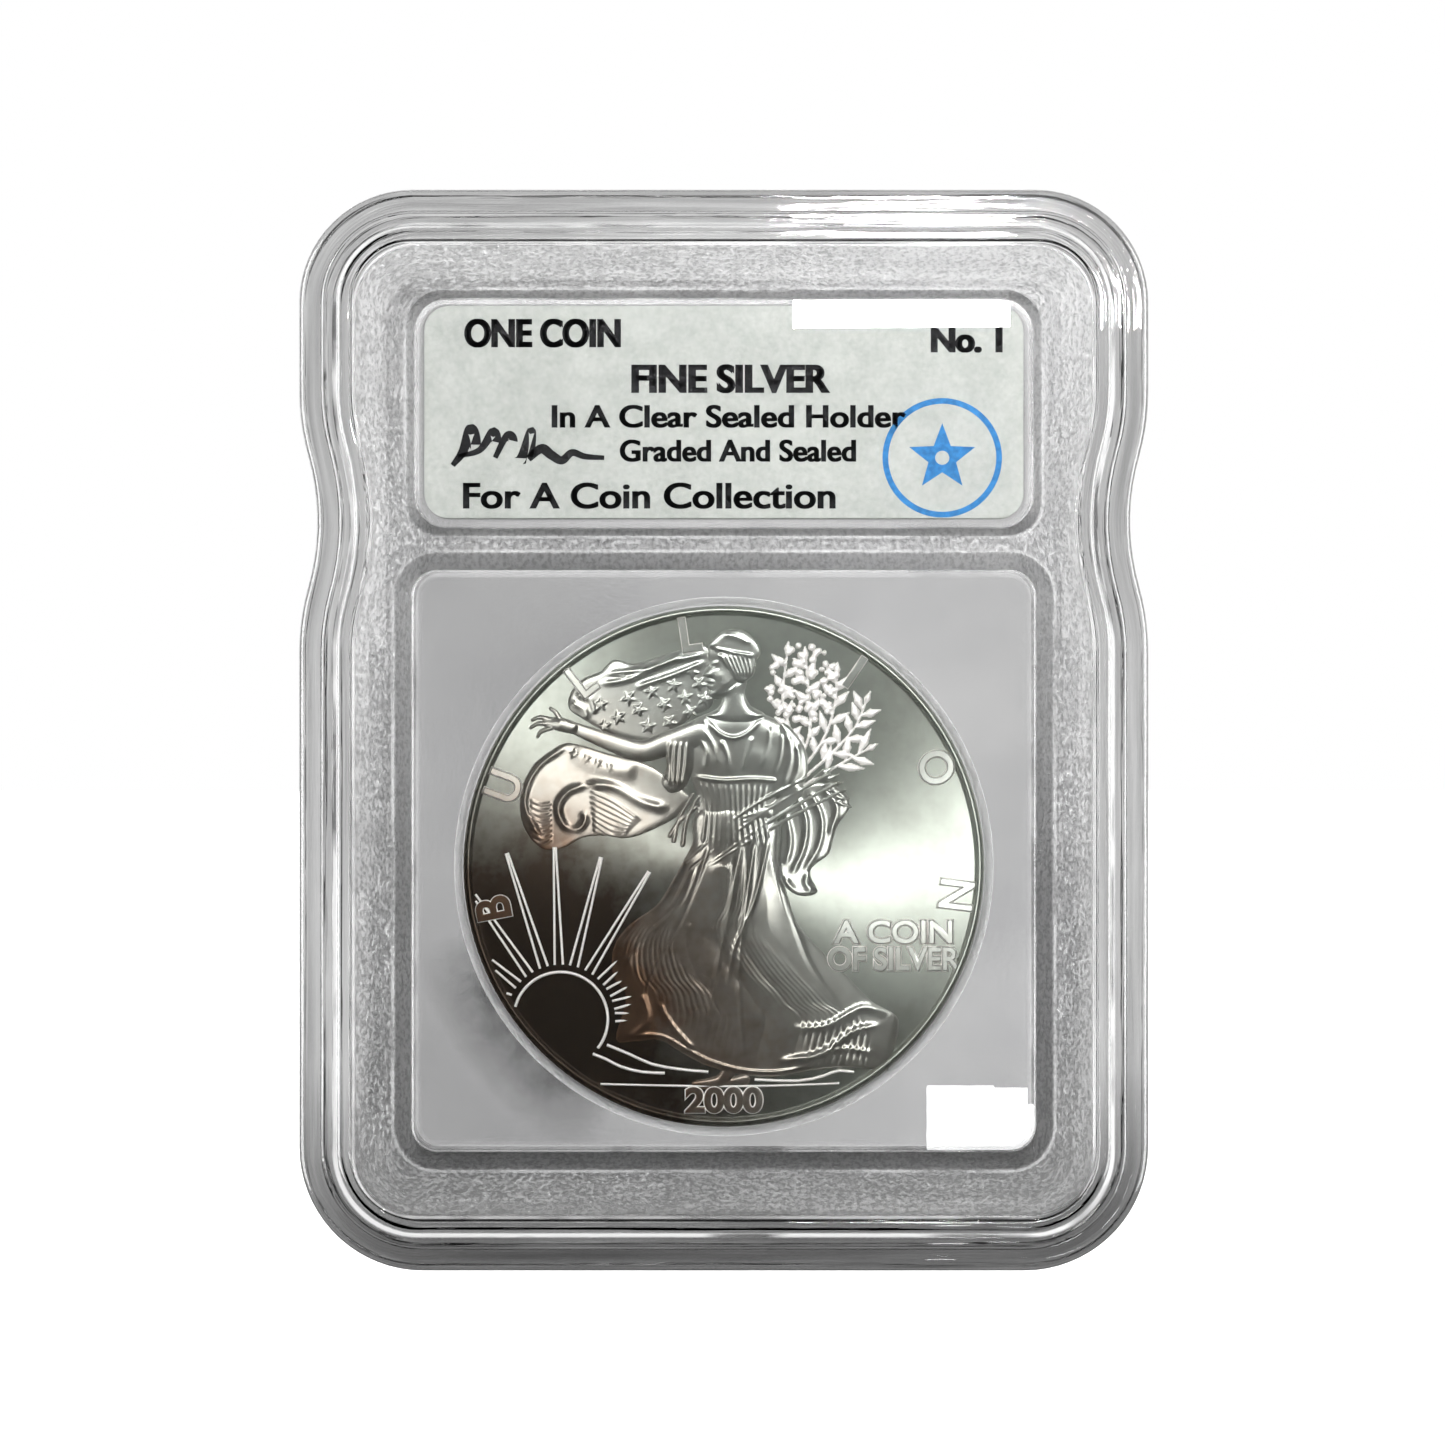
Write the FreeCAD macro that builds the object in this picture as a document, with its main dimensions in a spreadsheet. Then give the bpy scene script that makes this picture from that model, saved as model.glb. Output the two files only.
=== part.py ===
"""A sealed display slab for one graded silver coin.

Two clear moulded half shells are welded together round a clear core plate. The core
holds the coin in a round well and carries a paper label on its front and another on
its back, with a small security foil stuck on the back label.

The slab stands on its bottom edge. X is its width, Y its thickness with the front
face towards -Y, and Z its height. The origin is the middle of the bottom edge, on
the plane where the two shells meet. All sizes are in millimetres.
"""

import FreeCAD, Part
import math
import os
import Sketcher

SIZES = {
    # outline of both shells
    "slab_width": 66.0,
    "slab_height": 84.0,
    "corner_top": 8.8,
    "corner_bottom": 9.6,
    "waist_level": 58.2,
    "waist_depth": 1.4,
    "waist_radius": 18.5,
    "blend_radius": 18.5,
    # rises are measured from the middle plane of the slab towards its outer faces
    "seam_gap": 0.02,
    "wall_rise": 2.7,
    "step_rise": 3.2,
    "crest_rise": 4.2,
    "window_rise": 2.5,
    "cavity_rise": 1.6,
    # insets are measured inwards from the outline
    "step_inset": 1.7,
    "front_crest_outer": 3.0,
    "front_crest_inner": 4.3,
    "back_crest_outer": 4.5,
    "back_crest_inner": 5.9,
    "tongue_outer": 2.5,
    "tongue_inner": 3.2,
    "tongue_length": 0.8,
    "groove_play": 0.1,
    "wall_edge_round": 0.5,
    "step_edge_round": 0.3,
    "crest_edge_round": 0.4,
    # windows in both faces, each a flat pane with sloping sides
    "coin_window_half": 24.1,
    "coin_window_low": 9.4,
    "coin_window_high": 54.3,
    "coin_window_corner": 1.9,
    "coin_window_slope": 1.5,
    "label_window_half": 23.9,
    "label_window_low": 57.8,
    "label_window_high": 75.4,
    "label_window_corner": 2.2,
    "label_window_slope": 0.75,
    # cavity between the shells and the core plate that fills it
    "cavity_half": 26.3,
    "cavity_low": 7.1,
    "cavity_high": 77.0,
    "cavity_corner": 3.0,
    "lug_root": 25.8,
    "lug_reach": 27.5,
    "lug_low": 11.9,
    "lug_high": 48.4,
    "lug_corner": 0.4,
    "core_play": 0.1,
    "core_rise": 1.55,
    "lug_rise": 1.58,
    "well_play": 0.15,
    "well_chamfer": 0.5,
    # coin
    "coin_radius": 20.3,
    "coin_thickness": 2.98,
    "coin_level": 31.4,
    "coin_rim_width": 0.6,
    "coin_field_depth": 0.3,
    "coin_edge_round": 0.15,
    "reed_count": 150,
    "reed_depth": 0.12,
    "reed_half_width": 0.16,
    # labels and foil
    "label_half": 23.3,
    "label_low": 58.5,
    "label_high": 75.0,
    "label_corner": 1.9,
    "label_thickness": 0.2,
    "label_pocket": 0.31,
    "label_play": 0.1,
    "label_lift": 0.02,
    "foil_half": 5.5,
    "foil_offset": 15.5,
    "foil_corner": 0.8,
    "foil_thickness": 0.05,
}

LINE = "line"
ARC = "arc"
START, END, CENTRE = 1, 2, 3
FRONT, BACK = 1, -1
PLANE_TOLERANCE = 1e-4

doc = FreeCAD.newDocument("graded_coin_slab")
sheet = doc.addObject("Spreadsheet::Sheet", "Sizes")
for row, (alias, value) in enumerate(SIZES.items(), start=1):
    sheet.set(f"A{row}", alias)
    sheet.set(f"B{row}", str(value))
    sheet.setAlias(f"B{row}", alias)
scratch = doc.addObject("Spreadsheet::Sheet", "Scratch")
doc.recompute()


def expression(formula):
    """A formula of size names, such as slab_width / 2, as FreeCAD writes it."""
    return " ".join(f"Sizes.{w}" if w in SIZES else w for w in formula.split())


def value(formula):
    """The number a formula comes to, worked out in the scratch sheet."""
    scratch.set("A1", f"={expression(formula)}")
    scratch.recompute()
    return scratch.get("A1")


def new_body(label):
    body = doc.addObject("PartDesign::Body", label)
    body.Label = label
    return body


def face_plane(body):
    """The body's own plane of the slab's face, whose normal points to the front."""
    return next(f for f in body.Origin.OriginFeatures if f.Role == "XZ_Plane")


def new_sketch(body, name, rise="0"):
    """A sketch parallel to the slab's face, at a rise towards the front."""
    sketch = body.newObject("Sketcher::SketchObject", name)
    sketch.AttachmentSupport = (face_plane(body), [""])
    sketch.MapMode = "FlatFace"
    sketch.AttachmentOffset = FreeCAD.Placement(
        FreeCAD.Vector(0, 0, value(rise)), FreeCAD.Rotation()
    )
    sketch.setExpression("AttachmentOffset.Base.z", expression(rise))
    return sketch


def bind(sketch, kind, where, formula):
    """Adds a dimension to the sketch and binds it to the sheet."""
    index = sketch.addConstraint(Sketcher.Constraint(kind, *where, value(formula)))
    sketch.setExpression(f"Constraints[{index}]", expression(formula))


def add_line(sketch, start, end):
    first, last = FreeCAD.Vector(*start, 0), FreeCAD.Vector(*end, 0)
    return sketch.addGeometry(Part.LineSegment(first, last), False)


def add_arc(sketch, centre, radius, start_degrees, end_degrees):
    circle = Part.Circle(FreeCAD.Vector(*centre, 0), FreeCAD.Vector(0, 0, 1), radius)
    start, end = math.radians(start_degrees), math.radians(end_degrees)
    return sketch.addGeometry(Part.ArcOfCircle(circle, start, end), False)


def join_loop(sketch, chain):
    """Joins a closed chain of (geometry, entry point, exit point), each tangent to the next."""
    for i, (here, _, leaves) in enumerate(chain):
        there, enters, _ = chain[(i + 1) % len(chain)]
        sketch.addConstraint(Sketcher.Constraint("Tangent", here, leaves, there, enters))


def bind_position(sketch, axis, geometry, point, formula):
    """Binds a point's coordinate, measured from the sketch's origin, to the sheet."""
    kind = "DistanceX" if axis == "x" else "DistanceY"
    origin = (-1, 1)
    bind(sketch, kind, (*origin, geometry, point), formula)


def outline_loop(sketch, inset="0"):
    """Draws the slab's waisted outline, moved inwards by an inset."""
    d = value(inset)
    half = value("slab_width / 2")
    top = value("slab_height")
    r_low, r_high = value("corner_bottom"), value("corner_top")
    level, depth = value("waist_level"), value("waist_depth")
    r_waist, r_blend = value("waist_radius"), value("blend_radius")
    across = r_waist + r_blend - depth
    along = math.sqrt((r_waist + r_blend) ** 2 - across**2)
    turn = math.degrees(math.atan2(along, across))

    def side(sign):
        """One side's pieces from the bottom corner to the top corner."""

        def arc(x, z, radius, start, end):
            if sign < 0:
                start, end = 180 - end, 180 - start
            return add_arc(sketch, (sign * x, z), radius, start, end)

        low_corner = arc(half - r_low, r_low, r_low - d, -90, 0)
        low_line = add_line(
            sketch, (sign * (half - d), r_low), (sign * (half - d), level - along)
        )
        low_blend = arc(half - r_blend, level - along, r_blend - d, 0, turn)
        waist = arc(half - depth + r_waist, level, r_waist + d, 180 - turn, 180 + turn)
        high_blend = arc(half - r_blend, level + along, r_blend - d, -turn, 0)
        high_line = add_line(
            sketch, (sign * (half - d), level + along), (sign * (half - d), top - r_high)
        )
        high_corner = arc(half - r_high, top - r_high, r_high - d, 0, 90)
        return low_corner, low_line, low_blend, waist, high_blend, high_line, high_corner

    right = side(1)
    high = add_line(sketch, (half - r_high, top - d), (r_high - half, top - d))
    left = side(-1)
    low = add_line(sketch, (r_low - half, d), (half - r_low, d))

    # An arc's start and end swap when it is mirrored, and the waist arc runs backwards.
    upwards = {1: (START, END), -1: (END, START)}
    chain = []
    for sign, pieces in ((1, right), (-1, left)):
        climb = []
        for piece, kind in zip(pieces, (ARC, LINE, ARC, "waist", ARC, LINE, ARC)):
            enters, leaves = (START, END) if kind == LINE else upwards[sign]
            if kind == "waist":
                enters, leaves = leaves, enters
            climb.append((piece, enters, leaves))
        if sign > 0:
            chain += climb + [(high, START, END)]
        else:
            chain += [(p, leaves, enters) for p, enters, leaves in reversed(climb)]
    chain.append((low, START, END))
    join_loop(sketch, chain)

    for line in (high, low):
        sketch.addConstraint(Sketcher.Constraint("Horizontal", line))
    bind_position(sketch, "y", high, START, f"slab_height - {inset}")
    bind_position(sketch, "y", low, START, inset)
    for sign, pieces in (("", right), ("-1 * ", left)):
        low_corner, low_line, low_blend, waist, high_blend, high_line, high_corner = pieces
        reach = f"{sign}slab_width / 2 {'-' if sign == '' else '+'} {inset}"
        for line in (low_line, high_line):
            sketch.addConstraint(Sketcher.Constraint("Vertical", line))
            bind_position(sketch, "x", line, START, reach)
        bind(sketch, "Radius", (low_corner,), f"corner_bottom - {inset}")
        bind(sketch, "Radius", (high_corner,), f"corner_top - {inset}")
        for blend in (low_blend, high_blend):
            bind(sketch, "Radius", (blend,), f"blend_radius - {inset}")
        bind(sketch, "Radius", (waist,), f"waist_radius + {inset}")
        bind_position(sketch, "y", waist, CENTRE, "waist_level")
        if sign == "":
            middle = "slab_width / 2 - waist_depth + waist_radius"
        else:
            middle = "-1 * slab_width / 2 + waist_depth - waist_radius"
        bind_position(sketch, "x", waist, CENTRE, middle)


def rectangle_loop(sketch, left, right, low, high, corner):
    """Draws a rectangle with rounded corners between four bound sides."""
    x0, x1, z0, z1, r = (value(f) for f in (left, right, low, high, corner))
    bottom = add_line(sketch, (x0 + r, z0), (x1 - r, z0))
    low_right = add_arc(sketch, (x1 - r, z0 + r), r, -90, 0)
    east = add_line(sketch, (x1, z0 + r), (x1, z1 - r))
    high_right = add_arc(sketch, (x1 - r, z1 - r), r, 0, 90)
    top = add_line(sketch, (x1 - r, z1), (x0 + r, z1))
    high_left = add_arc(sketch, (x0 + r, z1 - r), r, 90, 180)
    west = add_line(sketch, (x0, z1 - r), (x0, z0 + r))
    low_left = add_arc(sketch, (x0 + r, z0 + r), r, 180, 270)
    loop = (bottom, low_right, east, high_right, top, high_left, west, low_left)
    join_loop(sketch, [(piece, START, END) for piece in loop])
    for line in (bottom, top):
        sketch.addConstraint(Sketcher.Constraint("Horizontal", line))
    for line in (east, west):
        sketch.addConstraint(Sketcher.Constraint("Vertical", line))
    bind_position(sketch, "y", bottom, START, low)
    bind_position(sketch, "y", top, START, high)
    bind_position(sketch, "x", east, START, right)
    bind_position(sketch, "x", west, START, left)
    for arc in (low_right, high_right, high_left, low_left):
        bind(sketch, "Radius", (arc,), corner)


def circle_loop(sketch, radius, level=None):
    """Draws a circle round the sketch's origin, or round a point straight above it."""
    centre = FreeCAD.Vector(0, value(level) if level else 0, 0)
    circle = Part.Circle(centre, FreeCAD.Vector(0, 0, 1), value(radius))
    index = sketch.addGeometry(circle, False)
    if level:
        sketch.addConstraint(Sketcher.Constraint("PointOnObject", index, CENTRE, -2))
        bind_position(sketch, "y", index, CENTRE, level)
    else:
        sketch.addConstraint(Sketcher.Constraint("Coincident", index, CENTRE, -1, 1))
    bind(sketch, "Radius", (index,), radius)


def triangle_loop(sketch, corners):
    """Draws a triangle between three corners, each given as two formulas."""
    points = [tuple(value(f) for f in corner) for corner in corners]
    lines = [add_line(sketch, points[i], points[(i + 1) % 3]) for i in range(3)]
    for i, line in enumerate(lines):
        after = lines[(i + 1) % 3]
        sketch.addConstraint(Sketcher.Constraint("Coincident", line, END, after, START))
        across, up = corners[i]
        if across == "0":
            sketch.addConstraint(Sketcher.Constraint("PointOnObject", line, START, -2))
        else:
            bind_position(sketch, "x", line, START, across)
        bind_position(sketch, "y", line, START, up)


def pad(body, name, sketch, length, towards=FRONT):
    """Grows the body from a sketch, towards the front or the back."""
    feature = body.newObject("PartDesign::Pad", name)
    feature.Profile = sketch
    feature.Length = value(length)
    feature.setExpression("Length", expression(length))
    feature.Reversed = towards == BACK
    doc.recompute()
    return feature


def pad_both_ways(body, name, sketch, length):
    """Grows the body from a sketch by half the length on each side of it."""
    feature = body.newObject("PartDesign::Pad", name)
    feature.Profile = sketch
    feature.Length = value(length)
    feature.setExpression("Length", expression(length))
    feature.Midplane = True
    doc.recompute()
    return feature


def pocket(body, name, sketch, length, towards):
    """Cuts the body from a sketch, towards the front or the back."""
    before = body.Shape.Volume
    feature = body.newObject("PartDesign::Pocket", name)
    feature.Profile = sketch
    feature.Length = value(length)
    feature.setExpression("Length", expression(length))
    feature.Reversed = towards == FRONT
    doc.recompute()
    if body.Shape.Volume >= before:
        raise RuntimeError(f"{body.Label}: {name} cuts nothing")
    return feature


def face_at(shape, rise, side):
    """The widest flat face that lies at a rise on one side."""
    y = -side * value(rise)
    at_rise = [
        face
        for face in shape.Faces
        if isinstance(face.Surface, Part.Plane)
        and abs(face.BoundBox.YMin - y) < PLANE_TOLERANCE
        and abs(face.BoundBox.YMax - y) < PLANE_TOLERANCE
    ]
    return max(at_rise, key=lambda face: face.BoundBox.XLength)


def edge_names(shape, wanted):
    """The names a shape gives to some of its edges."""
    names = []
    for number, edge in enumerate(shape.Edges, start=1):
        if any(edge.isSame(other) for other in wanted):
            names.append(f"Edge{number}")
    return names


def round_edges(body, name, radius, rise, side, outer_only):
    """Rounds the border of the widest face at a rise, or only its outer border."""
    base = body.Tip
    face = face_at(base.Shape, rise, side)
    wanted = face.OuterWire.Edges if outer_only else face.Edges
    feature = body.newObject("PartDesign::Fillet", name)
    feature.Base = (base, edge_names(base.Shape, wanted))
    feature.Radius = value(radius)
    feature.setExpression("Radius", expression(radius))
    doc.recompute()


def window(body, name, prefix, side):
    """Sinks a flat pane with sloping sides into the face panel."""
    outer = new_sketch(body, f"{name}_rim", signed("step_rise", side))
    slope = f"{prefix}_slope"
    rectangle_loop(
        outer,
        f"-1 * {prefix}_half - {slope}",
        f"{prefix}_half + {slope}",
        f"{prefix}_low - {slope}",
        f"{prefix}_high + {slope}",
        f"{prefix}_corner + {slope}",
    )
    inner = new_sketch(body, f"{name}_pane", signed("window_rise", side))
    rectangle_loop(
        inner,
        f"-1 * {prefix}_half",
        f"{prefix}_half",
        f"{prefix}_low",
        f"{prefix}_high",
        f"{prefix}_corner",
    )
    before = body.Shape.Volume
    loft = body.newObject("PartDesign::SubtractiveLoft", name)
    loft.Profile = outer
    loft.Sections = [inner]
    loft.Ruled = True
    doc.recompute()
    if body.Shape.Volume >= before:
        raise RuntimeError(f"{body.Label}: {name} cuts nothing")


def signed(rise, side):
    """A rise towards the front, or its opposite towards the back."""
    return rise if side == FRONT else f"-1 * {rise}"


def terrace(body, name, inset, rise, side):
    """One step of the stacked rim: the outline at an inset, grown from the seam."""
    sketch = new_sketch(body, f"{name}_outline", signed("seam_gap", side))
    outline_loop(sketch, inset)
    pad(body, name, sketch, f"{rise} - seam_gap", side)


def cavity(body, side):
    """The room for the core plate, with a notch each side for the core's lugs."""
    sketch = new_sketch(body, "cavity_outline")
    rectangle_loop(
        sketch,
        "-1 * cavity_half",
        "cavity_half",
        "cavity_low",
        "cavity_high",
        "cavity_corner",
    )
    pocket(body, "cavity", sketch, "cavity_rise", side)
    sketch = new_sketch(body, "lug_notches_outline")
    rectangle_loop(
        sketch,
        "-1 * lug_reach - core_play",
        "lug_reach + core_play",
        "lug_low - core_play",
        "lug_high + core_play",
        "lug_corner + core_play",
    )
    pocket(body, "lug_notches", sketch, "cavity_rise", side)


def shell_steps(body, side, crest_outer, crest_inner):
    """The stepped rim of a shell: wall, step and raised ring, and the panel inside it."""
    terrace(body, "wall", "0", "wall_rise", side)
    terrace(body, "step", "step_inset", "step_rise", side)
    terrace(body, "crest", crest_outer, "crest_rise", side)
    sketch = new_sketch(body, "panel_outline", signed("crest_rise", side))
    outline_loop(sketch, crest_inner)
    pocket(body, "panel", sketch, "crest_rise - step_rise", -side)


def shell_windows(body, side):
    window(body, "coin_window", "coin_window", side)
    window(body, "label_window", "label_window", side)


def shell_rounds(body, side):
    round_edges(body, "wall_round", "wall_edge_round", "wall_rise", side, True)
    round_edges(body, "step_round", "step_edge_round", "step_rise", side, True)
    round_edges(body, "crest_round", "crest_edge_round", "crest_rise", side, False)


def make_front_shell():
    """Clear front half, with a weld tongue that runs all round its rim."""
    body = new_body("front_shell")
    shell_steps(body, FRONT, "front_crest_outer", "front_crest_inner")
    sketch = new_sketch(body, "tongue_outline", "seam_gap")
    outline_loop(sketch, "tongue_outer")
    outline_loop(sketch, "tongue_inner")
    pad(body, "tongue", sketch, "tongue_length + seam_gap", BACK)
    cavity(body, FRONT)
    shell_windows(body, FRONT)
    shell_rounds(body, FRONT)
    return body


def make_back_shell():
    """Clear back half, whose ring nests inside the front ring of the slab behind it."""
    body = new_body("back_shell")
    shell_steps(body, BACK, "back_crest_outer", "back_crest_inner")
    sketch = new_sketch(body, "groove_outline")
    outline_loop(sketch, "tongue_outer - groove_play")
    outline_loop(sketch, "tongue_inner + groove_play")
    pocket(body, "groove", sketch, "tongue_length", BACK)
    cavity(body, BACK)
    shell_windows(body, BACK)
    shell_rounds(body, BACK)
    return body


def make_core_plate():
    """Clear plate that fills the cavity: a round well, two side lugs, two label pockets."""
    body = new_body("core_plate")
    sketch = new_sketch(body, "plate_outline")
    rectangle_loop(
        sketch,
        "-1 * cavity_half + core_play",
        "cavity_half - core_play",
        "cavity_low + core_play",
        "cavity_high - core_play",
        "cavity_corner - core_play",
    )
    pad_both_ways(body, "plate", sketch, "core_rise * 2")
    sketch = new_sketch(body, "lugs_outline")
    for inner, outer in (("lug_root", "lug_reach"), ("-1 * lug_reach", "-1 * lug_root")):
        rectangle_loop(sketch, inner, outer, "lug_low", "lug_high", "lug_corner")
    pad_both_ways(body, "lugs", sketch, "lug_rise * 2")
    sketch = new_sketch(body, "well_outline", "core_rise")
    circle_loop(sketch, "coin_radius + well_play", "coin_level")
    pocket(body, "well", sketch, "core_rise * 2", BACK)
    for name, side in (("front", FRONT), ("back", BACK)):
        sketch = new_sketch(body, f"{name}_label_pocket_outline", signed("core_rise", side))
        rectangle_loop(
            sketch,
            "-1 * label_half - label_play",
            "label_half + label_play",
            "label_low - label_play",
            "label_high + label_play",
            "label_corner + label_play",
        )
        pocket(body, f"{name}_label_pocket", sketch, "label_pocket", -side)
    chamfer_well(body)
    return body


def chamfer_well(body):
    """Bevels both mouths of the coin's well."""
    base = body.Tip
    radius = value("coin_radius + well_play")
    edges = []
    for i, edge in enumerate(base.Shape.Edges, start=1):
        if isinstance(edge.Curve, Part.Circle) and abs(edge.Curve.Radius - radius) < 1e-3:
            edges.append(f"Edge{i}")
    feature = body.newObject("PartDesign::Chamfer", "well_bevel")
    feature.Base = (base, edges)
    feature.Size = value("well_chamfer")
    feature.setExpression("Size", expression("well_chamfer"))
    doc.recompute()


def make_coin():
    """Silver coin: raised rim and sunken field on both sides, reeded all round."""
    body = new_body("coin")
    body.setExpression("Placement.Base.z", expression("coin_level"))
    sketch = new_sketch(body, "disc_outline")
    circle_loop(sketch, "coin_radius")
    pad_both_ways(body, "disc", sketch, "coin_thickness")
    for name, side in (("front", FRONT), ("back", BACK)):
        rise = signed("coin_thickness / 2", side)
        sketch = new_sketch(body, f"{name}_field_outline", rise)
        circle_loop(sketch, "coin_radius - coin_rim_width")
        pocket(body, f"{name}_field", sketch, "coin_field_depth", -side)
        round_edges(
            body, f"{name}_rim_round", "coin_edge_round", "coin_thickness / 2", side, False
        )
    cut_reeds(body)
    return body


def cut_reeds(body):
    """Cuts the coin's edge into even reeds with one V groove, repeated all round."""
    sketch = new_sketch(body, "reed_outline", "coin_thickness / 2")
    triangle_loop(
        sketch,
        (
            ("0", "coin_radius - reed_depth"),
            ("reed_half_width", "coin_radius + reed_depth"),
            ("-1 * reed_half_width", "coin_radius + reed_depth"),
        ),
    )
    groove = pocket(body, "reed", sketch, "coin_thickness", BACK)
    pattern = body.newObject("PartDesign::PolarPattern", "reeds")
    pattern.Originals = [groove]
    pattern.Axis = (sketch, ["N_Axis"])
    pattern.Angle = 360
    pattern.Occurrences = int(value("reed_count"))
    pattern.setExpression("Occurrences", expression("reed_count"))
    body.Tip = pattern
    doc.recompute()


def make_label(label, side):
    """Printed paper card lying in its pocket, just clear of the pocket's floor."""
    body = new_body(label)
    floor = signed("core_rise", side)
    sign = "-" if side == FRONT else "+"
    opposite = "+" if side == FRONT else "-"
    rise = f"{floor} {sign} label_pocket {opposite} label_lift"
    sketch = new_sketch(body, "card_outline", rise)
    rectangle_loop(
        sketch, "-1 * label_half", "label_half", "label_low", "label_high", "label_corner"
    )
    pad(body, "card", sketch, "label_thickness", side)
    return body


def make_foil():
    """Small square security foil stuck on the outer face of the back label."""
    body = new_body("security_foil")
    rise = "-1 * core_rise + label_pocket - label_lift - label_thickness"
    sketch = new_sketch(body, "foil_outline", rise)
    middle = "label_low / 2 + label_high / 2"
    rectangle_loop(
        sketch,
        "foil_offset - foil_half",
        "foil_offset + foil_half",
        f"{middle} - foil_half",
        f"{middle} + foil_half",
        "foil_corner",
    )
    pad(body, "foil", sketch, "foil_thickness", BACK)
    return body


def check_document():
    """Stops if any object failed, because a failed object raises nothing by itself."""
    doc.recompute()
    failed = [o.Name for o in doc.Objects if {"Invalid", "Error"} & set(o.State)]
    if failed:
        raise RuntimeError(f"failed objects: {failed}")


def write_parts(bodies):
    os.makedirs("parts", exist_ok=True)
    for body in bodies:
        shape = body.Shape
        if shape.isNull() or not shape.isValid() or not shape.Solids:
            raise RuntimeError(f"{body.Label} has no valid solid")
        shape.exportStep(os.path.join("parts", f"{body.Label}.step"))
        box = shape.optimalBoundingBox(False, False)
        print(
            f"{body.Label}: {len(shape.Solids)} solid, {shape.Volume:.1f} mm3, "
            f"{box.XLength:.2f} x {box.YLength:.2f} x {box.ZLength:.2f} mm"
        )


parts = [
    make_front_shell(),
    make_back_shell(),
    make_core_plate(),
    make_coin(),
    make_label("front_label", FRONT),
    make_label("back_label", BACK),
    make_foil(),
]
check_document()
write_parts(parts)
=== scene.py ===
"""Looks for a sealed display slab that holds one graded silver coin.

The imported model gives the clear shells, the core plate, the coin, the two paper labels
and the foil. This script gives them their materials, strikes a relief on the coin,
prints the labels, and sets up a plain studio round the slab.
"""

import bmesh
import bpy
import math
import numpy as np
from mathutils import Matrix, Vector


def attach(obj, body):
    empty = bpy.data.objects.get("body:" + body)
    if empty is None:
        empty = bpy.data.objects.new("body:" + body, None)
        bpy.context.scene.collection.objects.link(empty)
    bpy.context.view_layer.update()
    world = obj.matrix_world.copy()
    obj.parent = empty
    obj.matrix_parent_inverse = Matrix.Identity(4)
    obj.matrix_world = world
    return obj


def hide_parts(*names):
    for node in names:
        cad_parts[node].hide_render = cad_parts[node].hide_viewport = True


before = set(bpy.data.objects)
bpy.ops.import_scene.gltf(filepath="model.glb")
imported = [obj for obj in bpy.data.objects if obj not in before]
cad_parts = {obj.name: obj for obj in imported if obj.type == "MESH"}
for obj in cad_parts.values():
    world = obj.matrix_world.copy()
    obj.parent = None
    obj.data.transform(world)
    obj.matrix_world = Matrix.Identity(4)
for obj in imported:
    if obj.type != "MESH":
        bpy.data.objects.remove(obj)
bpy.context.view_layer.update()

MM = 0.001

# The coin, in millimetres. Its level is above the slab's bottom edge; the other heights
# are from the slab's middle plane, out towards either face.
COIN_LEVEL = 31.4
COIN_RADIUS = 20.3
COIN_HALF = 1.49
RIM_INNER = 19.62
FIELD_MIDDLE = 1.13
FIELD_RISE = 0.10
RELIEF_SCALE = 0.86
GRID_STEP = 0.07
REEDS = 150

# Print: the height of the labels' faces, and a capital's share of the font size.
PRINT_LEVEL = 1.466
CAPITAL_SHARE = 0.682

# Outlines on the shells, in metres: low edge, high edge, half width, corner radius.
COIN_WINDOW = (0.0094, 0.0543, 0.0241, 0.0019)
LABEL_WINDOW = (0.0578, 0.0754, 0.0239, 0.0025)
PANEL = (0.0043, 0.0797, 0.0287, 0.0050)
WINDOW_SLOPE = 0.0015
GRIP_LEVEL, GRIP_REACH, GRIP_DEPTH = 0.0582, 0.0101, 0.0014


# ---- node helpers

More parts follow.
